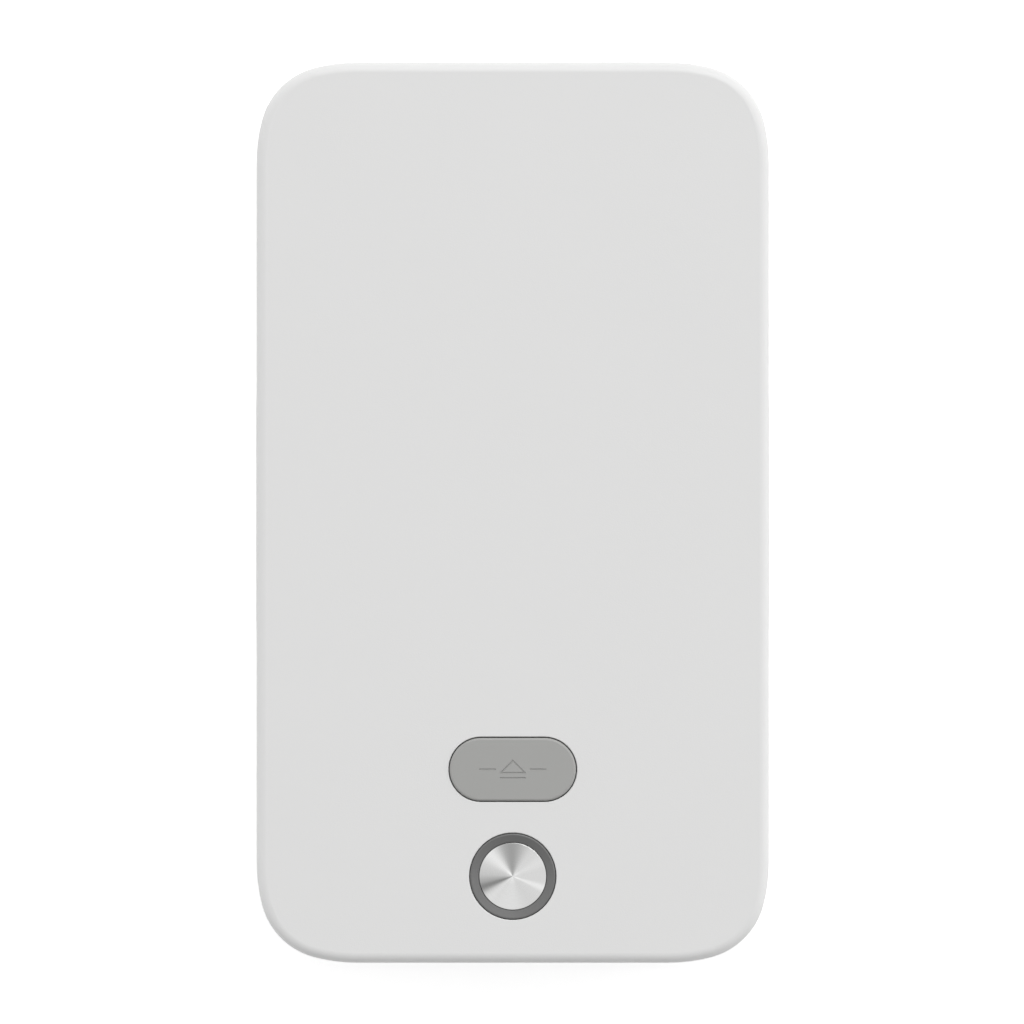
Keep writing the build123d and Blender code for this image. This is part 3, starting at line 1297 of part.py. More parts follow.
def cover_liner():
    """Inner panel of the cover, with the round rib that keeps the roll down."""
    plate = slab(WALL + 2 * FRAME_GAP, LINER_Z, LINER_TOP) & block(
        LINER_LEFT, LINER_RIGHT, LINER_BOTTOM, HALF_LENGTH, LINER_Z, LINER_TOP
    )
    rib = post(BAY_X, BAY_Y, ROLL_RADIUS, LINER_Z - LINER_RIB, LINER_Z + 0.1)
    rib -= post(BAY_X, BAY_Y, ROLL_RADIUS - FRAME_WALL, LINER_Z - 1, LINER_Z)
    liner = plate + rib
    for x, y in LINER_SCREWS:
        liner -= post(x, y, COVER_SCREW_RADIUS + COVER_SCREW_GAP, LINER_Z - 1, LINER_TOP + 1)
    return liner


def liner_screws():
    """Screws that hold the liner to the cover, seen from inside."""
    length = LINER_THICKNESS + LINER_SCREW_GRIP
    one = screw(COVER_SCREW_RADIUS, COVER_SCREW_HEAD_RADIUS, COVER_SCREW_HEAD, length)
    return [Pos(x, y, LINER_Z) * Rot(180, 0, 0) * one for x, y in LINER_SCREWS]


def latch_housing():
    """Tray under the cover that guides the latch slide and carries the button springs."""
    y0 = OPEN_Y - HOUSING_HALF
    y1 = OPEN_Y + HOUSING_HALF
    tray = block(HOUSING_LEFT, HOUSING_SIDE_X + 1, y0, y1, HOUSING_Z, HOUSING_TOP)
    tray += block(HOUSING_SIDE_X, HOUSING_RIGHT, y0, HOUSING_END_Y, HOUSING_Z, HOUSING_TOP)
    flange_length = OPEN_LENGTH + 2 * OPEN_FLANGE
    flange_width = OPEN_WIDTH + 2 * OPEN_FLANGE
    guide = pill(
        0, OPEN_Y, flange_length + 2 * HOUSING_WALL, flange_width + 2 * HOUSING_WALL,
        HOUSING_TOP - 0.1, FACE_INSIDE,
    )
    guide -= pill(
        0, OPEN_Y, flange_length + 2 * SLIDE_GAP, flange_width + 2 * SLIDE_GAP,
        HOUSING_TOP - 1, FACE_INSIDE + 1,
    )
    half_bar = WEDGE_WIDTH / 2 + SLIDE_WINDOW_GAP + SLIDE_RAIL
    guide -= block(
        0, HOUSING_SIDE_X, OPEN_Y - half_bar - SLIDE_GAP, OPEN_Y + half_bar + SLIDE_GAP,
        HOUSING_TOP, SLIDE_TOP + SLIDE_GAP,
    )
    tray += guide
    seat_x = ARM_INNER_X - LATCH_SPRING_LENGTH
    tray += block(
        seat_x - LATCH_SPRING_SEAT, seat_x,
        LATCH_SPRING_Y - LATCH_SPRING_SEAT_HALF, LATCH_SPRING_Y + LATCH_SPRING_SEAT_HALF,
        HOUSING_TOP - 0.1, SLIDE_Z + ARM_HEIGHT,
    )
    for y in HOOK_Y:
        half = HOOK_WIDTH / 2 + 0.4
        tray -= block(
            ARM_INNER_X - OPEN_TRAVEL - SLIDE_END_GAP, INNER_X, y - half, y + half,
            HOUSING_Z - 1, HOUSING_TOP + 0.05,
        )
    for x, y in HOUSING_SCREWS:
        tray -= post(x, y, COVER_SCREW_RADIUS + 0.15, HOUSING_Z - 1, HOUSING_TOP + 1)
    return tray


def housing_screws():
    """Screws that hold the latch housing to the cover."""
    length = HOUSING_THICKNESS + HOUSING_SCREW_GRIP
    one = screw(COVER_SCREW_RADIUS, COVER_SCREW_HEAD_RADIUS, COVER_SCREW_HEAD, length)
    return [Pos(x, y, HOUSING_Z) * Rot(180, 0, 0) * one for x, y in HOUSING_SCREWS]


def open_button():
    """Button that opens the cover: cap, flange and the wedge that drives the slide."""
    top = HEIGHT + OPEN_PROUD
    length = OPEN_LENGTH - 2 * OPEN_GAP
    width = OPEN_WIDTH - 2 * OPEN_GAP
    cap = pill(0, OPEN_Y, length, width, OPEN_FLANGE_Z, top)
    cap = fillet(top_edges(cap), OPEN_BEVEL)
    cap += pill(
        0, OPEN_Y, OPEN_LENGTH + 2 * OPEN_FLANGE, OPEN_WIDTH + 2 * OPEN_FLANGE,
        OPEN_FLANGE_Z, OPEN_FLANGE_TOP,
    )
    slope = WEDGE_X + WEDGE_GAP * sqrt(2)
    right = WEDGE_X + WEDGE_LENGTH
    wedge = [
        (slope + SLIDE_TOP - OPEN_FLANGE_Z, OPEN_FLANGE_Z),
        (slope + SLIDE_TOP - OPEN_FLANGE_Z, OPEN_FLANGE_Z + 0.2),
        (right, OPEN_FLANGE_Z + 0.2),
        (right, WEDGE_Z),
        (slope + SLIDE_TOP - WEDGE_Z, WEDGE_Z),
    ]
    return cap + prism_y(wedge, OPEN_Y - WEDGE_WIDTH / 2, OPEN_Y + WEDGE_WIDTH / 2)


def open_button_springs():
    """Two springs under the button's flange."""
    coil = coil_spring(
        "open_button_springs", OPEN_SPRING_RADIUS, BUTTON_WIRE, OPEN_FLANGE_Z - HOUSING_TOP, BUTTON_TURNS
    )
    return [Pos(side * OPEN_SPRING_X, OPEN_Y, HOUSING_TOP) * coil for side in (-1, 1)]


def latch_slide():
    """Slide with two hooks, pushed left by the button's wedge."""
    half_window = WEDGE_WIDTH / 2 + SLIDE_WINDOW_GAP
    half_bar = half_window + SLIDE_RAIL
    spring_half = OPEN_SPRING_RADIUS + BUTTON_WIRE / 2 + SLIDE_END_GAP
    spring_window_end = OPEN_SPRING_X + spring_half + OPEN_TRAVEL
    wide_end = spring_window_end + SLIDE_RAIL
    bar = block(
        WEDGE_X - SLIDE_RAIL, wide_end, OPEN_Y - half_bar, OPEN_Y + half_bar, SLIDE_Z, SLIDE_TOP
    )
    bar += block(
        wide_end - 1, ARM_OUTER_X, OPEN_Y - ARM_NECK / 2, OPEN_Y + ARM_NECK / 2, SLIDE_Z, SLIDE_TOP
    )
    window = [
        (WEDGE_X, SLIDE_TOP),
        (WEDGE_X - 1, SLIDE_TOP + 1),
        (WEDGE_X + WEDGE_LENGTH + OPEN_TRAVEL + SLIDE_END_GAP, SLIDE_TOP + 1),
        (WEDGE_X + WEDGE_LENGTH + OPEN_TRAVEL + SLIDE_END_GAP, SLIDE_Z - 1),
        (WEDGE_X + SLIDE_THICKNESS + 1, SLIDE_Z - 1),
    ]
    bar -= prism_y(window, OPEN_Y - half_window, OPEN_Y + half_window)
    bar -= block(
        OPEN_SPRING_X - spring_half, spring_window_end, OPEN_Y - spring_half, OPEN_Y + spring_half,
        SLIDE_Z - 1, SLIDE_TOP + 1,
    )
    low_y = HOOK_Y[0] - half_bar
    high_y = HOOK_Y[1] + HOOK_WIDTH / 2
    bar += block(ARM_INNER_X, ARM_OUTER_X, low_y, high_y, SLIDE_Z, SLIDE_Z + ARM_HEIGHT)
    for y in HOOK_Y:
        points = [
            (ARM_INNER_X, SLIDE_Z + 1),
            (ARM_OUTER_X, SLIDE_Z + 1),
            (ARM_OUTER_X, HOOK_BARB_TOP),
            (ARM_OUTER_X + BARB, HOOK_BARB_TOP),
            (ARM_OUTER_X + BARB, HOOK_BARB_TOP - HOOK_LEAD),
            (ARM_OUTER_X, HOOK_BOTTOM - HOOK_LEAD),
            (ARM_INNER_X, HOOK_BOTTOM - HOOK_LEAD),
        ]
        bar += prism_y(points, y - HOOK_WIDTH / 2, y + HOOK_WIDTH / 2)
    return bar


def latch_spring():
    """Spring that pushes the latch slide back to the right."""
    coil = coil_spring(
        "latch_spring", LATCH_SPRING_RADIUS, BUTTON_WIRE, LATCH_SPRING_LENGTH, LATCH_TURNS
    )
    x = ARM_INNER_X - LATCH_SPRING_LENGTH
    return Pos(x, LATCH_SPRING_Y, SLIDE_Z + ARM_HEIGHT / 2) * Rot(0, 90, 0) * coil


def light_ring():
    """Fixed ring that lets light through, sloping down to the power button."""
    bore = DISC_RADIUS + DISC_GAP
    ring = post(0, POWER_Y, RING_RADIUS, FACE_INSIDE - 0.1, HEIGHT)
    ring = fillet(top_edges(ring), RING_ROUNDING)
    ring += post(0, POWER_Y, RING_RADIUS + RING_FLANGE, FACE_INSIDE - RING_FLANGE_THICKNESS, FACE_INSIDE)
    ring -= post(0, POWER_Y, bore, 0, HEIGHT + 1)
    slope = Cone(bore, RING_RADIUS - RING_LAND, RING_DROP)
    return ring - Pos(0, POWER_Y, HEIGHT - RING_DROP / 2) * slope


def power_button_disc():
    """Turned metal disc, dished a little towards its middle."""
    disc = post(0, POWER_Y, DISC_RADIUS, DISC_Z, DISC_TOP)
    disc = chamfer(top_edges(disc), DISC_CHAMFER)
    dish_radius = (DISC_RADIUS**2 + DISC_DISH**2) / (2 * DISC_DISH)
    return disc - Pos(0, POWER_Y, DISC_TOP + dish_radius - DISC_DISH) * Sphere(dish_radius)


def power_button_stem():
    """Stem that reaches the switch, with a groove for its clip."""
    stem = post(0, POWER_Y, STEM_RADIUS, STEM_Z, DISC_Z)
    stem = chamfer(bottom_edges(stem), 0.3)
    groove = post(0, POWER_Y, STEM_RADIUS + 1, CLIP_TOP - CLIP_THICKNESS, CLIP_TOP)
    groove -= post(0, POWER_Y, STEM_RADIUS - CLIP_GROOVE, 0, HEIGHT)
    return stem - groove


def power_button_clip():
    """Open clip that keeps the stem in its guide."""
    clip = post(0, POWER_Y, CLIP_RADIUS, CLIP_TOP - CLIP_THICKNESS, CLIP_TOP)
    bore = STEM_RADIUS - CLIP_GROOVE
    clip -= post(0, POWER_Y, bore, 0, HEIGHT)
    return clip - block(-bore * 0.8, bore * 0.8, POWER_Y, POWER_Y + CLIP_RADIUS + 1, 0, HEIGHT)


def power_button_spring():
    """Spring between the cover and the disc."""
    length = DISC_Z - POWER_FLOOR_TOP
    coil = coil_spring("power_button_spring", POWER_SPRING_RADIUS, BUTTON_WIRE, length, POWER_TURNS)
    return Pos(0, POWER_Y, POWER_FLOOR_TOP) * coil


PIECES = (
    base_shell,
    chassis_frame,
    chassis_screws,
    battery_pack,
    battery_lead,
    roll_tag_antenna,
    main_board,
    board_screws,
    board_chips,
    board_connectors,
    radio_shield,
    power_switch_body,
    status_leds,
    usb_shell,
    usb_tongue,
    hinge_pins,
    keeper_springs,
    motor_body,
    motor_lead,
    motor_screws,
    idler_axle,
    platen_bush,
    head_pivot_pin,
    head_spring,
    tear_blade,
    gap_sensor,
    front_cover,
    cover_liner,
    liner_screws,
    latch_housing,
    housing_screws,
    light_ring,
    open_button_springs,
    latch_spring,
    power_button_spring,
    open_button,
    latch_slide,
    power_button_disc,
    power_button_stem,
    power_button_clip,
    switch_plunger,
    platen_roller,
    platen_shaft,
    platen_gear,
    reduction_gear,
    motor_shaft,
    motor_pinion,
    head_arm,
    thermal_head,
)


def main():
    """Build every piece and write it under its own name."""
    os.makedirs("parts", exist_ok=True)
    for make in PIECES:
        shape = make()
        if isinstance(shape, list):
            shape = Compound(children=shape)
        export_step(shape, f"parts/{make.__name__}.step")


main()
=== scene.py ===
"""Looks of the handheld label printer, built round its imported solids.

Metres, in the solids' own frame: +Z out of the front face, +Y towards the label
exit, the back face on Z = 0.
"""

from __future__ import annotations

import json
import logging
import math
from dataclasses import dataclass, field
from enum import Enum

import bmesh
import bpy
from mathutils import Matrix, Vector

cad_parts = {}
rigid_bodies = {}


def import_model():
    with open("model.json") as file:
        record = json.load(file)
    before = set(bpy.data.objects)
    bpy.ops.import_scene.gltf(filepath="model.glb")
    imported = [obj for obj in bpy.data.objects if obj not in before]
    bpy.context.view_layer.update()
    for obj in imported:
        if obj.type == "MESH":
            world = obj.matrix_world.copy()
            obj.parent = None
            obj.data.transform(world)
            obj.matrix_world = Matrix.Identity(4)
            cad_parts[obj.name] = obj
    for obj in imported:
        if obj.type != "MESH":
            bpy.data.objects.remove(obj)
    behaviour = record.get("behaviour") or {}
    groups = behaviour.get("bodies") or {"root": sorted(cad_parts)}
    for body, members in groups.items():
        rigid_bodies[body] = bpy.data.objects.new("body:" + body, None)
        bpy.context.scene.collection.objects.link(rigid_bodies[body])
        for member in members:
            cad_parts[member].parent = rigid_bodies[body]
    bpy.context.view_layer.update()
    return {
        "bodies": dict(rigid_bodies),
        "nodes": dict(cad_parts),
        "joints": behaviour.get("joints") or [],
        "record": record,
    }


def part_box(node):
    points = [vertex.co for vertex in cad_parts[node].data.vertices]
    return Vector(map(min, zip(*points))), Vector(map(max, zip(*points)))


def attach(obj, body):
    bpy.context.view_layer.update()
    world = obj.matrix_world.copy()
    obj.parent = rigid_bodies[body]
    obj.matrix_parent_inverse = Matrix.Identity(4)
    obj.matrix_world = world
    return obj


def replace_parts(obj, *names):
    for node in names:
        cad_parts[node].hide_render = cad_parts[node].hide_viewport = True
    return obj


LOG = logging.getLogger("label_printer")
MM = 0.001
SMOOTH_ANGLE = math.radians(32)
FLAT_FACE_WEIGHT = 50
SOLID_MERGE = 1e-6
LATHE_MERGE = 1e-8

Colour = tuple[float, float, float]
Point = tuple[float, float, float]
Plane = tuple[float, float]


class Slot(Enum):
    """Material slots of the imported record."""

    CASE = "case_plastic"
    FRAME = "frame_plastic"
    BUTTON = "button_plastic"
    RING = "ring_plastic"
    SPUN = "spun_metal"
    WHITE = "white_plastic"
    BLACK = "black_plastic"
    STEEL = "steel"
    SPRING = "spring_steel"
    SCREW = "screw_steel"
    BRASS = "brass"
    RUBBER = "rubber"
    ALUMINIUM = "aluminium"
    CERAMIC = "ceramic"
    BOARD = "circuit_board"
    FOIL = "battery_foil"
    WIRE = "wire_insulation"
    LAMP = "lamp"


class Way(Enum):
    """Directions that a grain can run in, as the stretch of its pattern."""

    ALONG_X = (0.04, 1.0, 1.0)
    ALONG_Y = (1.0, 0.04, 1.0)
    ALONG_Z = (1.0, 1.0, 0.04)
    ROUND_Z = (0.15, 0.15, 1.0)


class Value:
    """A shader socket that Python's operators work on."""

    def __init__(self, shader: Shader, socket: bpy.types.NodeSocket) -> None:
        """Wraps one output socket of a shader."""
        self.shader = shader
        self.socket = socket

    def __add__(self, other: Value | float) -> Value:
        """Sum of two values."""
        return self.shader.maths("ADD", self, other)

    def __sub__(self, other: Value | float) -> Value:
        """Difference of two values."""
        return self.shader.maths("SUBTRACT", self, other)

    def __rsub__(self, other: float) -> Value:
        """A number less this value."""
        return self.shader.maths("SUBTRACT", other, self)

    def __mul__(self, other: Value | float) -> Value:
        """Product of two values."""
        return self.shader.maths("MULTIPLY", self, other)

    def __truediv__(self, other: Value | float) -> Value:
        """Quotient of two values."""
        return self.shader.maths("DIVIDE", self, other)

    __radd__ = __add__
    __rmul__ = __mul__


class Shader:
    """The node tree of one material or world."""

    def __init__(self, tree: bpy.types.NodeTree) -> None:
        """Clears a node tree and gets ready to fill it.

        Args:
            tree: the tree of a material or a world.
        """
        self.tree = tree
        tree.nodes.clear()

    def node(
        self,
        kind: str,
        settings: dict[str, object] | None = None,
        sockets: dict[str | int, object] | None = None,
    ) -> bpy.types.Node:
        """Adds a node.

        Args:
            kind: the node's type.
            settings: its settings, which are set first.
            sockets: values, or values wrapped from other nodes, by input.

        Returns:
            The new node.
        """
        made = self.tree.nodes.new(kind)
        for name, setting in (settings or {}).items():
            setattr(made, name, setting)
        for name, given in (sockets or {}).items():
            if isinstance(given, Value):
                self.tree.links.new(given.socket, made.inputs[name])
            else:
                made.inputs[name].default_value = given
        return made

    def value(self, node: bpy.types.Node, output: str | int = 0) -> Value:
        """One output of a node, ready for expressions."""
        return Value(self, node.outputs[output])

    def maths(self, operation: str, first: object, second: object = 0.0) -> Value:
        """One Math node on two values or numbers."""
        return self.value(
            self.node("ShaderNodeMath", {"operation": operation}, {0: first, 1: second})
        )

    def place(self, shift: Point = (0, 0, 0), stretch: Point = (1, 1, 1)) -> Value:
        """Object coordinates, moved and then stretched.

        Args:
            shift: the point that becomes the pattern's origin, in metres.
            stretch: the factors along X, Y and Z.

        Returns:
            The coordinates as a vector.
        """
        where = self.value(self.node("ShaderNodeTexCoord"), "Object")
        moved = self.node(
            "ShaderNodeVectorMath", {"operation": "SUBTRACT"}, {0: where, 1: shift}
        )
        scaled = self.node(
            "ShaderNodeVectorMath",
            {"operation": "MULTIPLY"},
            {0: self.value(moved), 1: stretch},
        )
        return self.value(scaled)

    def noise(self, where: Value, per_metre: float, detail: float = 2.0) -> Value:
        """Noise between 0 and 1, with so many features to a metre."""
        return self.value(
            self.node(
                "ShaderNodeTexNoise",
                {},
                {"Vector": where, "Scale": per_metre, "Detail": detail, "Roughness": 0.55},
            ),
            "Fac",
        )

    def cells(self, where: Value, per_metre: float) -> Value:
        """Distance to the nearest of many scattered points."""
        return self.value(
            self.node("ShaderNodeTexVoronoi", {}, {"Vector": where, "Scale": per_metre}),
            "Distance",
        )

    def step(self, value: Value, low: float, high: float) -> Value:
        """Smooth step from 0 at low to 1 at high."""
        return self.value(
            self.node(
                "ShaderNodeMapRange",
                {"interpolation_type": "SMOOTHSTEP"},
                {"Value": value, "From Min": low, "From Max": high},
            )
        )

    def blend(self, share: Value, first: object, second: object) -> Value:
        """Colour between two colours.

        Args:
            share: 0 for the first colour, 1 for the second.
            first: a colour, or a value that carries one.
            second: a colour, or a value that carries one.

        Returns:
            The mixed colour.
        """
        mixed = self.node("ShaderNodeMix", {"data_type": "RGBA"}, {"Factor": share})
        for socket, given in ((mixed.inputs[6], first), (mixed.inputs[7], second)):
            if isinstance(given, Value):
                self.tree.links.new(given.socket, socket)
            else:
                socket.default_value = (*given, 1.0)
        return Value(self, mixed.outputs[2])

    def bump(self, height: Value, depth: float, strength: float = 1.0) -> Value:
        """Normal bent by a height between 0 and 1.

        Args:
            height: the height.
            depth: how many metres a height of 1 stands for.
            strength: share of the effect.

        Returns:
            The normal.
        """
        return self.value(
            self.node(
                "ShaderNodeBump",
                {},
                {"Height": height, "Distance": depth, "Strength": strength},
            )
        )

    def surface(self, sockets: dict[str, object], linked: dict[str, Value]) -> None:
        """Ends a material with one Principled shader.

        Args:
            sockets: constants, by socket.
            linked: what changes over the surface, by socket.
        """
        shader = self.node("ShaderNodeBsdfPrincipled", {}, {**sockets, **linked})
        self.node("ShaderNodeOutputMaterial", {}, {"Surface": self.value(shader)})


def shade(colour: Colour, share: float) -> Colour:
    """A colour made lighter or darker by a factor."""
    return tuple(min(1.0, part * share) for part in colour)


@dataclass(frozen=True)
class Finish:
    """What all finishes share: a base colour and a roughness."""

    colour: Colour
    roughness: float

    def paint(self, shader: Shader) -> None:
        """Fills a material's tree. Each finish has its own."""
        raise NotImplementedError

    def material(self, name: str) -> bpy.types.Material:
        """Makes the material.

        Args:
            name: the material's name.

        Returns:
            The new material.
        """
        made = bpy.data.materials.new(name)
        made.use_nodes = True
        self.paint(Shader(made.node_tree))
        return made


@dataclass(frozen=True)
class MouldedPlastic(Finish):
    """Plastic from a spark-eroded mould: fine grain, faint flow marks, faint handling shine."""

    grain: float = 7000.0
    depth: float = 0.000012
    mottle: float = 0.02
    pit_share: float = 0.6
    clouds: float = 60.0
    flow: float = 400.0

    def paint(self, shader: Shader) -> None:
        """Fine grain in the bump, clouds in the colour and both in the gloss."""
        where = shader.place()
        grain = shader.noise(where, self.grain, 1.0)
        pits = shader.cells(where, self.grain * self.pit_share)
        clouds = shader.noise(where, self.clouds, 3.0)
        flow = shader.noise(shader.place(stretch=(0.3, 1.0, 1.0)), self.flow, 2.0)
        tone = clouds * 0.7 + flow * 0.3
        colour = shader.blend(
            tone, shade(self.colour, 1 - self.mottle), shade(self.colour, 1 + self.mottle)
        )
        gloss = self.roughness + (clouds - 0.5) * 0.1 + (grain - 0.5) * 0.08
        shader.surface(
            {"IOR": 1.46},
            {
                "Base Color": colour,
                "Roughness": gloss,
                "Normal": shader.bump(grain * 0.6 + pits * 0.4, self.depth),
            },
        )


@dataclass(frozen=True)
class Acetal(Finish):
    """Slippery white engineering plastic with faint tool marks and a creamy mottle."""

    waves: float = 900.0
    clouds: float = 160.0
    depth: float = 0.00001

    def paint(self, shader: Shader) -> None:
        """Low waviness and a slight creamy mottle."""
        where = shader.place()
        waves = shader.noise(where, self.waves, 2.0)
        clouds = shader.noise(where, self.clouds, 2.0)
        shader.surface(
            {"Subsurface Weight": 0.08, "Subsurface Scale": 0.001, "IOR": 1.48},
            {
                "Base Color": shader.blend(
                    clouds, self.colour, shade(self.colour, 0.93)
                ),
                "Roughness": self.roughness + (waves - 0.5) * 0.15,
                "Normal": shader.bump(waves, self.depth),
            },
        )


@dataclass(frozen=True)
class DrawnMetal(Finish):
    """Rolled, drawn or turned metal, with fine lines along one way and a light haze."""

    way: Way = Way.ALONG_Y
    lines: float = 9000.0
    haze: float = 250.0
    depth: float = 0.000002

    def paint(self, shader: Shader) -> None:
        """Stretched noise in the colour, gloss and bump."""
        lines = shader.noise(shader.place(stretch=self.way.value), self.lines, 2.0)
        haze = shader.noise(shader.place(), self.haze, 3.0)
        tone = lines * 0.6 + haze * 0.4
        shader.surface(
            {"Metallic": 1.0},
            {
                "Base Color": shader.blend(
                    tone, shade(self.colour, 0.82), shade(self.colour, 1.15)
                ),
                "Roughness": self.roughness + (lines - 0.5) * 0.18 + (haze - 0.5) * 0.1,
                "Normal": shader.bump(lines, self.depth),
            },
        )


@dataclass(frozen=True)
class Ray:
    """One sector of painted highlight or painted shade in a turned face's colour, in degrees from
    +X.
    """

    angle: float
    width: float
    # change: above 0 a painted highlight, below 0 a painted shade
    change: float


@dataclass(frozen=True)
class SpunMetal(Finish):
    """Face-turned metal: fine rings in its bump and gloss, and sectors of painted highlight and
    painted shade in its colour in place of the rings' reflection.
    """

    # dark and colour are the ends of the colour blend; level is the tone before the painted
    # highlight and shade, and the painted glint lifts it near the middle
    dark: Colour = (0.10, 0.10, 0.098)
    level: float = 0.70
    centre: Point = (0.0, 0.0, 0.0)
    rays: tuple[Ray, ...] = ()
    painted_glint_radius: float = 1.4 * MM
    painted_glint_lift: float = 0.08
    rings: float = 14000.0
    ring_tone: float = 0.04
    ring_gloss: float = 0.12
    depth: float = 0.0000015

    def paint(self, shader: Shader) -> None:
        """Rings by the distance from the middle; painted highlight and painted shade sectors by the
        direction from it, with a painted glint near the middle.
        """
        parts = shader.node(
            "ShaderNodeSeparateXYZ", {}, {0: shader.place(shift=self.centre)}
        )
        x = shader.value(parts, "X")
        y = shader.value(parts, "Y")
        radius = shader.maths("SQRT", x * x + y * y + 1e-12)
        # near is 1 at the middle: a painted glint that lightens the colour there and strengthens
        # the painted highlight sectors
        near = 1.0 - shader.step(radius, 0.0, self.painted_glint_radius)
        tone = self.level + near * self.painted_glint_lift
        # Each ray paints a sector of highlight or shade into the base colour, in place of
        # reflection
        for ray in self.rays:
            turn = math.radians(ray.angle)
            facing = (x * math.cos(turn) + y * math.sin(turn)) / radius
            edge = math.cos(math.radians(ray.width))
            share = shader.maths("MAXIMUM", (facing - edge) / (1 - edge), 0.0)
            strength = ray.change if ray.change < 0 else (near + 1.0) * ray.change
            tone = tone + share * share * strength
        along = shader.node("ShaderNodeCombineXYZ", {}, {"X": radius})
        rings = shader.noise(shader.value(along), self.rings, 2.0)
        tone = tone + (rings - 0.5) * self.ring_tone
        shader.surface(
            {"Metallic": 1.0},
            {
                "Base Color": shader.blend(tone, self.dark, self.colour),
                "Roughness": self.roughness + (rings - 0.5) * self.ring_gloss,
                "Normal": shader.bump(rings, self.depth),
            },
        )


@dataclass(frozen=True)
class GroundRubber(Finish):
    """Rubber roller ground to size, with a dusty matt skin."""

    rings: float = 5000.0
    specks: float = 2500.0
    dust: Colour = (0.30, 0.30, 0.29)
    depth: float = 0.00003

    def paint(self, shader: Shader) -> None:
        """Rings from the grinding wheel and specks of paper dust."""
        rings = shader.noise(shader.place(stretch=Way.ROUND_Z.value), self.rings, 2.0)
        dust = shader.step(shader.noise(shader.place(), self.specks, 4.0), 0.60, 0.75)
        shader.surface(
            {"Sheen Weight": 0.15, "Sheen Roughness": 0.6},
            {
                "Base Color": shader.blend(dust * 0.35, self.colour, self.dust),
                "Roughness": self.roughness + (rings - 0.5) * 0.15,
                "Normal": shader.bump(rings, self.depth),
            },
        )


@dataclass(frozen=True)
class GlazedCeramic(Finish):
    """Glazed ceramic with the dark line of its heating dots and the leads beside it."""

    line_y: float = 0.0
    line_half: float = 0.26 * MM
    line_edge: float = 0.04 * MM
    leads_half: float = 1.85 * MM
    leads_edge: float = 0.05 * MM
    lead_pitch: float = 0.5 * MM
    lead_colour: Colour = (0.62, 0.45, 0.20)
    line_colour: Colour = (0.06, 0.04, 0.03)

    def paint(self, shader: Shader) -> None:
        """Dark line by Y, fine leads by Z."""
        parts = shader.node(
            "ShaderNodeSeparateXYZ", {}, {0: shader.place(shift=(0.0, self.line_y, 0.0))}
        )
        away = shader.maths("ABSOLUTE", shader.value(parts, "Y"))
        line = 1.0 - shader.step(
            away, self.line_half - self.line_edge, self.line_half + self.line_edge
        )
        near = 1.0 - shader.step(
            away, self.leads_half - self.leads_edge, self.leads_half + self.leads_edge
        )
        wave = shader.maths("SINE", shader.value(parts, "Z") * (2 * math.pi / self.lead_pitch))
        leads = near * shader.step(wave, -0.1, 0.1)
        clouds = shader.noise(shader.place(), 700.0, 2.0)
        colour = shader.blend(clouds, self.colour, shade(self.colour, 0.92))
        colour = shader.blend(leads * 0.8, colour, self.lead_colour)
        colour = shader.blend(line, colour, self.line_colour)
        shader.surface(
            {"Coat Weight": 0.4, "Coat Roughness": 0.08},
            {
                "Base Color": colour,
                "Roughness": self.roughness + (clouds - 0.5) * 0.1,
                "Normal": shader.bump(clouds, 0.000004),
            },
        )


@dataclass(frozen=True)
class SolderMask(Finish):
    """Lacquered circuit board: paler tracks under the mask and rows of small pads."""

    blocks: float = 260.0
    track_pitch: float = 0.8 * MM
    pads: float = 420.0
    pad_colour: Colour = (0.62, 0.60, 0.52)
    depth: float = 0.00002

    def paint(self, shader: Shader) -> None:
        """Tracks from two crossed wave patterns, cut into runs by coarse cells."""
        parts = shader.node("ShaderNodeSeparateXYZ", {}, {0: shader.place()})
        x = shader.value(parts, "X")
        y = shader.value(parts, "Y")
        blocks = shader.cells(shader.place(stretch=(1.0, 1.6, 0.01)), self.blocks)
        choice = shader.step(blocks, 0.42, 0.44)
        turns = 2 * math.pi / self.track_pitch
        across = shader.step(shader.maths("SINE", x * turns), 0.35, 0.45)
        down = shader.step(shader.maths("SINE", y * turns), 0.35, 0.45)
        tracks = across * choice + down * (1.0 - choice)
        pads = 1.0 - shader.step(
            shader.cells(shader.place(stretch=(1.0, 1.0, 0.01)), self.pads), 0.10, 0.13
        )
        clouds = shader.noise(shader.place(), 400.0, 2.0)
        colour = shader.blend(clouds, shade(self.colour, 0.85), shade(self.colour, 1.1))
        colour = shader.blend(tracks * 0.55, colour, shade(self.colour, 1.9))
        colour = shader.blend(pads, colour, self.pad_colour)
        shader.surface(
            {"Coat Weight": 0.35, "Coat Roughness": 0.15},
            {
                "Base Color": colour,
                "Metallic": pads * 0.8,
                "Roughness": self.roughness - tracks * 0.06,
                "Normal": shader.bump(tracks + pads, self.depth),
            },
        )


@dataclass(frozen=True)
class PouchFoil(Finish):
    """Aluminium laminate of a pouch cell, faintly creased."""

    creases: float = 180.0
    fine: float = 1500.0
    depth: float = 0.00015

    def paint(self, shader: Shader) -> None:
        """Creases at two scales."""
        creases = shader.noise(shader.place(stretch=(1.0, 0.4, 1.0)), self.creases, 5.0)
        fine = shader.noise(shader.place(), self.fine, 3.0)
        shader.surface(
            {"Metallic": 0.9},
            {
                "Base Color": shader.blend(
                    creases, shade(self.colour, 0.85), shade(self.colour, 1.08)
                ),
                "Roughness": self.roughness + (fine - 0.5) * 0.2,
                "Normal": shader.bump(creases * 0.8 + fine * 0.2, self.depth),
            },
        )


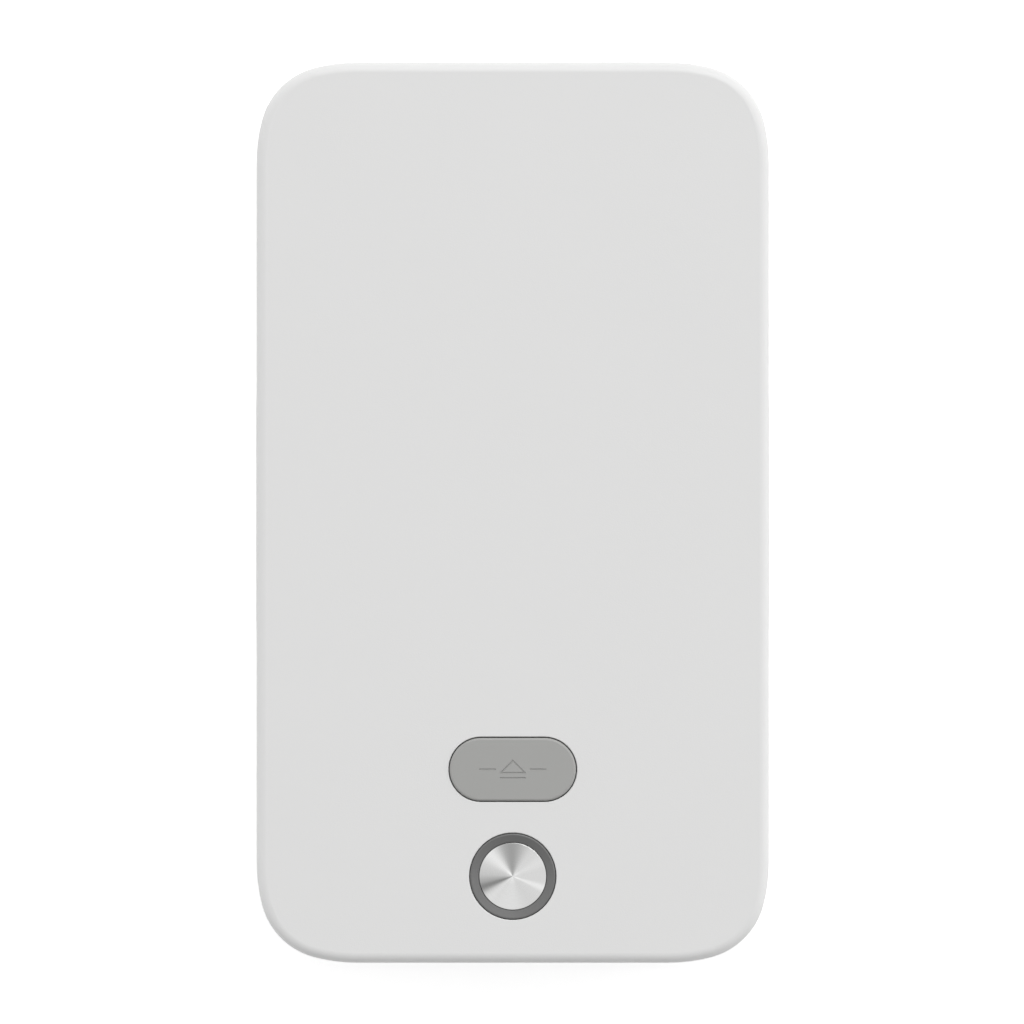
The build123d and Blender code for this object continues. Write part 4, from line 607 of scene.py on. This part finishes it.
@dataclass(frozen=True)
class WireSleeve(Finish):
    """Soft wire sleeve, in two colours either side of a plane across X."""

    other: Colour = (0.02, 0.02, 0.02)
    rubbed: Colour = (0.5, 0.48, 0.45)
    split_x: float = 0.0
    split_edge: float = 0.05 * MM
    marks: float = 900.0
    depth: float = 0.00002

    def paint(self, shader: Shader) -> None:
        """One colour each side of the plane, with faint handling marks."""
        parts = shader.node(
            "ShaderNodeSeparateXYZ", {}, {0: shader.place(shift=(self.split_x, 0, 0))}
        )
        side = shader.step(shader.value(parts, "X"), -self.split_edge, self.split_edge)
        marks = shader.noise(shader.place(), self.marks, 3.0)
        colour = shader.blend(side, self.other, self.colour)
        shader.surface(
            {"IOR": 1.5},
            {
                "Base Color": shader.blend(marks * 0.12, colour, self.rubbed),
                "Roughness": self.roughness + (marks - 0.5) * 0.2,
                "Normal": shader.bump(marks, self.depth),
            },
        )


@dataclass(frozen=True)
class LampResin(Finish):
    """Milky resin of a small surface-mounted lamp, with a yellow core."""

    core: Colour = (0.92, 0.84, 0.45)
    clumps: float = 1800.0

    def paint(self, shader: Shader) -> None:
        """Yellow where the resin is thick."""
        core = shader.step(shader.noise(shader.place(), self.clumps, 1.0), 0.35, 0.65)
        shader.surface(
            {"Transmission Weight": 0.2, "IOR": 1.5},
            {
                "Base Color": shader.blend(core, self.colour, self.core),
                "Roughness": self.roughness + (core - 0.5) * 0.1,
            },
        )


DISC_CENTRE = (0.0, -52.5 * MM, 0.0)
# Sectors of painted highlight (change above 0) and painted shade (change below 0) in the disc's
# colour, in place of its reflection
DISC_PAINTED_SHEEN = (
    Ray(93, 44, -0.40),
    Ray(133, 26, 0.17),
    Ray(188, 46, -0.17),
    Ray(196, 22, -0.22),
    Ray(201, 12, -0.18),
    Ray(222, 12, 0.06),
    Ray(262, 40, 0.04),
    Ray(304, 30, -0.04),
    Ray(339, 11, 0.18),
    Ray(28, 18, 0.07),
)

FINISHES: dict[Slot, Finish] = {
    Slot.CASE: MouldedPlastic((0.768, 0.768, 0.765), 0.42, mottle=0.008),
    Slot.FRAME: MouldedPlastic((0.105, 0.108, 0.112), 0.52, grain=4500.0, mottle=0.08),
    Slot.BUTTON: MouldedPlastic((0.368, 0.369, 0.359), 0.42, grain=9000.0, depth=0.000006),
    Slot.RING: MouldedPlastic((0.150, 0.150, 0.149), 0.34, grain=9000.0, depth=0.000003),
    Slot.SPUN: SpunMetal((0.90, 0.90, 0.895), 0.28, centre=DISC_CENTRE, rays=DISC_PAINTED_SHEEN),
    Slot.WHITE: Acetal((0.80, 0.80, 0.77), 0.34),
    Slot.BLACK: MouldedPlastic((0.022, 0.022, 0.023), 0.45, grain=6000.0, mottle=0.15),
    Slot.STEEL: DrawnMetal((0.58, 0.58, 0.585), 0.32, way=Way.ALONG_Z),
    Slot.SPRING: DrawnMetal((0.46, 0.46, 0.47), 0.28, way=Way.ALONG_X),
    Slot.SCREW: DrawnMetal((0.40, 0.40, 0.41), 0.34, way=Way.ROUND_Z, lines=5000.0),
    Slot.BRASS: DrawnMetal((0.72, 0.53, 0.25), 0.30, way=Way.ROUND_Z, lines=6000.0),
    Slot.RUBBER: GroundRubber((0.028, 0.028, 0.029), 0.72),
    Slot.ALUMINIUM: DrawnMetal((0.74, 0.74, 0.745), 0.38, way=Way.ALONG_Z, lines=4000.0),
    Slot.CERAMIC: GlazedCeramic((0.82, 0.80, 0.74), 0.30, line_y=50.0 * MM),
    Slot.BOARD: SolderMask((0.018, 0.105, 0.050), 0.40),
    Slot.FOIL: PouchFoil((0.66, 0.67, 0.69), 0.36),
    Slot.WIRE: WireSleeve((0.42, 0.03, 0.025), 0.45, split_x=-9.0 * MM),
    Slot.LAMP: LampResin((0.86, 0.85, 0.78), 0.25),
}


class Dressing:
    """Materials of the part, one for each slot, and the calls that put them on."""

    def __init__(self) -> None:
        """Makes every slot's material."""
        self.materials = {slot: made.material(slot.value) for slot, made in FINISHES.items()}

    def dress_solids(self, frame: dict) -> None:
        """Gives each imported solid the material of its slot.
        """
        for row in frame["record"]["subparts"]:
            solid = frame["nodes"][row["node"]]
            for holder in solid.material_slots:
                holder.material = self.materials[Slot(row["material_slot"])]

    def finish_piece(
        self, mesh: bmesh.types.BMesh, name: str, slot: Slot, body: str
    ) -> bpy.types.Object:
        """Turns a mesh into a finished piece that rides on a body.

        Args:
            mesh: the shape, in place.
            name: the piece's name.
            slot: its material slot.
            body: the body that carries it.

        Returns:
            The new object.
        """
        data = bpy.data.meshes.new(name)
        mesh.to_mesh(data)
        mesh.free()
        data.shade_smooth()
        data.set_sharp_from_angle(angle=SMOOTH_ANGLE)
        data.materials.append(self.materials[slot])
        piece = bpy.data.objects.new(name, data)
        bpy.context.scene.collection.objects.link(piece)
        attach(piece, body)
        LOG.info("%s: %d faces on %s", name, len(data.polygons), body)
        return piece


def copy_of(solid: bpy.types.Object) -> bmesh.types.BMesh:
    """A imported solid's mesh as one closed shape.

    Args:
        solid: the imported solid, which stays as it is.

    Returns:
        The merged copy.
    """
    data = solid.data.copy()
    if "custom_normal" in data.attributes:
        data.attributes.remove(data.attributes["custom_normal"])
    shape = bmesh.new()
    shape.from_mesh(data)
    bmesh.ops.remove_doubles(shape, verts=shape.verts, dist=SOLID_MERGE)
    bpy.data.meshes.remove(data)
    return shape


def lathe(profile: list[Plane], centre: Point, steps: int) -> bmesh.types.BMesh:
    """Turns a profile about an upright axis.

    Args:
        profile: radius and height of each point.
        centre: a point of the axis, which carries the heights.
        steps: how many sides the turned shape has.

    Returns:
        The turned shape, with its doubles merged and faces outwards.
    """
    shape = bmesh.new()
    chain = [shape.verts.new((radius, 0.0, height)) for radius, height in profile]
    edges = [shape.edges.new(pair) for pair in zip(chain, chain[1:])]
    bmesh.ops.spin(
        shape, geom=chain + edges, axis=(0, 0, 1), cent=(0, 0, 0),
        angle=2 * math.pi, steps=steps, use_merge=True,
    )
    bmesh.ops.remove_doubles(shape, verts=shape.verts, dist=LATHE_MERGE)
    bmesh.ops.recalc_face_normals(shape, faces=shape.faces)
    bmesh.ops.translate(shape, verts=shape.verts, vec=centre)
    return shape


def bar(
    start: Plane, end: Plane, width: float, low: float, high: float, narrow: float
) -> bmesh.types.BMesh:
    """Straight bar between two points of the plan, narrower at its underside.

    Args:
        start: X and Y of one end.
        end: X and Y of the other end.
        width: the bar's width at its top.
        low: height of its underside.
        high: height of its top.
        narrow: how much each wall leans in, from the top to the underside.

    Returns:
        The bar.
    """
    run = Vector(end) - Vector(start)
    shape = bmesh.new()
    bmesh.ops.create_cube(shape, size=1.0)
    bmesh.ops.scale(shape, verts=shape.verts, vec=(run.length + width, width, high - low))
    for corner in shape.verts:
        if corner.co.z < 0:
            corner.co.x -= math.copysign(narrow, corner.co.x)
            corner.co.y -= math.copysign(narrow, corner.co.y)
    bmesh.ops.rotate(
        shape, verts=shape.verts, matrix=Matrix.Rotation(math.atan2(run.y, run.x), 3, "Z")
    )
    middle = (Vector(start) + Vector(end)) / 2
    bmesh.ops.translate(shape, verts=shape.verts, vec=(*middle, (low + high) / 2))
    return shape


def carve(piece: bpy.types.Object, cutters: list[bmesh.types.BMesh]) -> None:
    """Cuts shapes out of a piece.

    Args:
        piece: the piece, whose mesh is changed.
        cutters: the shapes, one for each cut.
    """
    for shape in cutters:
        data = bpy.data.meshes.new("cutter")
        shape.to_mesh(data)
        shape.free()
        tool = bpy.data.objects.new("cutter", data)
        bpy.context.scene.collection.objects.link(tool)
        cut = piece.modifiers.new("cut", "BOOLEAN")
        cut.operation = "DIFFERENCE"
        cut.solver = "EXACT"
        cut.object = tool
        bpy.context.view_layer.update()
        seen = piece.evaluated_get(bpy.context.evaluated_depsgraph_get())
        result = bpy.data.meshes.new_from_object(seen)
        piece.modifiers.remove(cut)
        old = piece.data
        piece.data = result
        bpy.data.meshes.remove(old)
        bpy.data.objects.remove(tool)
        bpy.data.meshes.remove(data)
    piece.data.name = piece.name
    piece.data.shade_smooth()
    piece.data.set_sharp_from_angle(angle=SMOOTH_ANGLE)


def even_shading(piece: bpy.types.Object) -> None:
    """Lets large flat faces rule the shading of the roundings beside them."""
    weights = piece.modifiers.new("weights", "WEIGHTED_NORMAL")
    weights.keep_sharp = True
    weights.weight = FLAT_FACE_WEIGHT


@dataclass
class OpenButton:
    """The long button that opens the cover, with an engraved sign."""

    centre: Plane = (0.0, -37.06 * MM)
    sign_width: float = 3.5 * MM
    sign_height: float = 2.5 * MM
    stroke: float = 0.25 * MM
    lean: float = 0.09 * MM
    depth: float = 0.13 * MM
    bar_gap: float = 0.75 * MM
    line_length: float = 2.2 * MM
    line_gap: float = 0.8 * MM

    def sign(self, top: float) -> list[bmesh.types.BMesh]:
        """The strokes of a plain triangle over a bar, with a line to each side.

        Args:
            top: height of the button's face.

        Returns:
            One cutter for each stroke.
        """
        x, y = self.centre
        half = self.sign_width / 2
        foot = y - self.sign_height / 2
        base = foot + self.bar_gap
        peak = (x, y + self.sign_height / 2)
        left, right = (x - half, base), (x + half, base)
        strokes = [(left, right), (left, peak), (right, peak), ((x - half, foot), (x + half, foot))]
        for side in (-1, 1):
            near = x + side * (half + self.line_gap)
            strokes.append(((near, y), (near + side * self.line_length, y)))
        low, high = top - self.depth, top + self.depth
        width = self.stroke + 2 * self.lean
        return [bar(a, b, width, low, high, 2 * self.lean) for a, b in strokes]

    def build(self, frame: dict, dressing: Dressing) -> bpy.types.Object:
        """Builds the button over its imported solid."""
        shape = copy_of(frame["nodes"]["open_button"])
        piece = dressing.finish_piece(shape, "open_button_cap", Slot.BUTTON, "open_button")
        carve(piece, self.sign(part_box("open_button")[1].z))
        even_shading(piece)
        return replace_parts(piece, "open_button")


@dataclass
class PowerButton:
    """The turned metal disc of the power button."""

    edge: float = 0.10 * MM
    dish: float = 0.12 * MM
    pip: float = 0.22 * MM
    pip_fall: float = 0.15
    steps: int = 128
    edge_points: int = 4
    dish_points: int = 24

    def profile(self, radius: float, low: float, high: float) -> list[Plane]:
        """Half section from the middle of the underside to the middle of the top.

        Args:
            radius: the disc's radius.
            low: height of the underside.
            high: height of the rim.

        Returns:
            Radius and height of each point.
        """
        points = [(0.0, low), (radius - self.edge, low), (radius, low + self.edge)]
        for i in range(self.edge_points + 1):
            turn = math.pi / 2 * i / self.edge_points
            points.append(
                (
                    radius - self.edge * (1 - math.cos(turn)),
                    high - self.edge * (1 - math.sin(turn)),
                )
            )
        flat = radius - self.edge
        for i in range(1, self.dish_points):
            share = 1 - i / self.dish_points
            points.append((flat * share, high - self.dish * (1 - share * share)))
        points.append((self.pip, high - self.dish))
        points.append((0.0, high - self.dish - self.pip * self.pip_fall))
        return points

    def build(self, dressing: Dressing) -> bpy.types.Object:
        """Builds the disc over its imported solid."""
        low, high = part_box("power_button_disc")
        centre = ((low.x + high.x) / 2, (low.y + high.y) / 2, 0.0)
        radius = (high.x - low.x) / 2
        shape = lathe(self.profile(radius, low.z, high.z), centre, self.steps)
        piece = dressing.finish_piece(shape, "power_disc", Slot.SPUN, "power_button")
        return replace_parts(piece, "power_button_disc")


@dataclass
class PrintHead:
    """Small parts of the print head that the solids leave out."""

    bead_width: float = 0.9 * MM
    bead_proud: float = 0.05 * MM
    bead_short: float = 0.6 * MM
    segments: int = 24

    def build(self, dressing: Dressing) -> bpy.types.Object:
        """Builds the glazed bead that carries the heating dots."""
        low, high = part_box("thermal_head")
        shape = bmesh.new()
        bmesh.ops.create_cone(
            shape, cap_ends=True, segments=self.segments, radius1=0.5, radius2=0.5, depth=1.0
        )
        length = high.z - low.z - self.bead_short
        bmesh.ops.scale(
            shape, verts=shape.verts, vec=(2 * self.bead_proud, self.bead_width, length)
        )
        middle = (low + high) / 2
        bmesh.ops.translate(shape, verts=shape.verts, vec=(low.x, middle.y, middle.z))
        return dressing.finish_piece(shape, "heater_bead", Slot.CERAMIC, "print_head")


@dataclass(frozen=True)
class Lamp:
    """One square soft lamp that points at the part, with or without its gleam on gloss."""

    name: str
    place: Point
    size: float
    power: float
    gleam: bool = True

    def build(self) -> None:
        """Adds the lamp to the scene."""
        data = bpy.data.lights.new(self.name, "AREA")
        data.shape = "SQUARE"
        data.size = self.size
        data.energy = self.power
        lamp = bpy.data.objects.new(self.name, data)
        lamp.location = self.place
        lamp.visible_glossy = self.gleam
        lamp.rotation_euler = (-Vector(self.place)).to_track_quat("-Z", "Y").to_euler()
        bpy.context.scene.collection.objects.link(lamp)


@dataclass
class Studio:
    """Floor, light and camera."""

    field_of_view: float = 147.8 * MM
    distance: float = 3.0
    sensor: float = 36.0
    sight: float = 20.0
    aim: Plane = (-0.00011, 0.00009)
    face_z: float = 28.0 * MM
    floor_size: float = 30.0
    floor_gap: float = 0.05 * MM
    floor_tone: float = 0.78
    sky: float = 0.62
    sky_to_y: float = 0.34
    sky_to_x: float = 0.06
    floor_glow: float = 0.62
    lamps: tuple[Lamp, ...] = (
        Lamp("key", (0.45, 1.25, 1.70), 0.9, 14.6),
        Lamp("right_side", (2.0, 0.2, 0.45), 0.9, 9.6, gleam=False),
        Lamp("left_side", (-2.0, 0.2, 0.30), 0.9, 6.9, gleam=False),
    )

    def white(self, shader: Shader) -> Value:
        """1 for rays that come from the camera or off gloss or through glass."""
        path = shader.node("ShaderNodeLightPath")
        seen = shader.value(path, "Is Camera Ray")
        for name in ("Is Glossy Ray", "Is Transmission Ray"):
            seen = shader.maths("MAXIMUM", seen, shader.value(path, name))
        return seen

    def world(self) -> None:
        """Soft sky, brighter towards the label exit, and white wherever it is seen."""
        world = bpy.data.worlds.new("studio")
        world.use_nodes = True
        bpy.context.scene.world = world
        shader = Shader(world.node_tree)
        toward = shader.value(shader.node("ShaderNodeTexCoord"), "Generated")
        parts = shader.node("ShaderNodeSeparateXYZ", {}, {0: toward})
        level = (
            self.sky
            + shader.value(parts, "Y") * self.sky_to_y
            + shader.value(parts, "X") * self.sky_to_x
        )
        soft = shader.node("ShaderNodeBackground", {}, {"Color": (1, 1, 1, 1), "Strength": level})
        plain = shader.node("ShaderNodeBackground", {}, {"Color": (1, 1, 1, 1), "Strength": 1.0})
        mixed = shader.node(
            "ShaderNodeMixShader",
            {},
            {0: self.white(shader), 1: shader.value(soft), 2: shader.value(plain)},
        )
        shader.node("ShaderNodeOutputWorld", {}, {"Surface": shader.value(mixed)})

    def floor(self) -> None:
        """Near-white sheet that keeps the part's shadow."""
        shape = bmesh.new()
        bmesh.ops.create_grid(shape, x_segments=1, y_segments=1, size=self.floor_size / 2)
        bmesh.ops.translate(shape, verts=shape.verts, vec=(0.0, 0.0, -self.floor_gap))
        data = bpy.data.meshes.new("floor")
        shape.to_mesh(data)
        shape.free()
        material = bpy.data.materials.new("floor")
        material.use_nodes = True
        shader = Shader(material.node_tree)
        tone = (self.floor_tone, self.floor_tone, self.floor_tone, 1.0)
        sheet = shader.node("ShaderNodeBsdfDiffuse", {}, {"Color": tone})
        strength = self.white(shader) * self.floor_glow
        glow = shader.node("ShaderNodeEmission", {}, {"Strength": strength})
        both = shader.node(
            "ShaderNodeAddShader", {}, {0: shader.value(sheet), 1: shader.value(glow)}
        )
        shader.node("ShaderNodeOutputMaterial", {}, {"Surface": shader.value(both)})
        data.materials.append(material)
        sheet_object = bpy.data.objects.new("floor", data)
        bpy.context.scene.collection.objects.link(sheet_object)

    def camera(self) -> None:
        """Camera straight above the front face, with the label exit at the top."""
        data = bpy.data.cameras.new("camera")
        data.sensor_width = self.sensor
        data.lens = self.sensor * self.distance / self.field_of_view
        data.clip_end = self.sight
        eye = bpy.data.objects.new("camera", data)
        eye.location = (*self.aim, self.face_z + self.distance)
        bpy.context.scene.collection.objects.link(eye)
        bpy.context.scene.camera = eye

    def build(self) -> None:
        """Sets up the whole studio."""
        bpy.context.scene.view_settings.view_transform = "Standard"
        self.world()
        self.floor()
        for lamp in self.lamps:
            lamp.build()
        self.camera()


@dataclass
class LabelPrinter:
    """The whole part."""

    open_button: OpenButton = field(default_factory=OpenButton)
    power_button: PowerButton = field(default_factory=PowerButton)
    print_head: PrintHead = field(default_factory=PrintHead)

    def build(self, frame: dict) -> None:
        """Dresses the solids and builds the pieces round them.
        """
        dressing = Dressing()
        dressing.dress_solids(frame)
        self.open_button.build(frame, dressing)
        self.power_button.build(dressing)
        self.print_head.build(dressing)


def main() -> None:
    """Builds the studio and the part."""
    logging.basicConfig(level=logging.INFO, format="%(name)s: %(message)s")
    for leftover in list(bpy.data.objects):
        bpy.data.objects.remove(leftover)
    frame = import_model()
    Studio().build()
    LabelPrinter().build(frame)


if __name__ == "__main__":
    main()
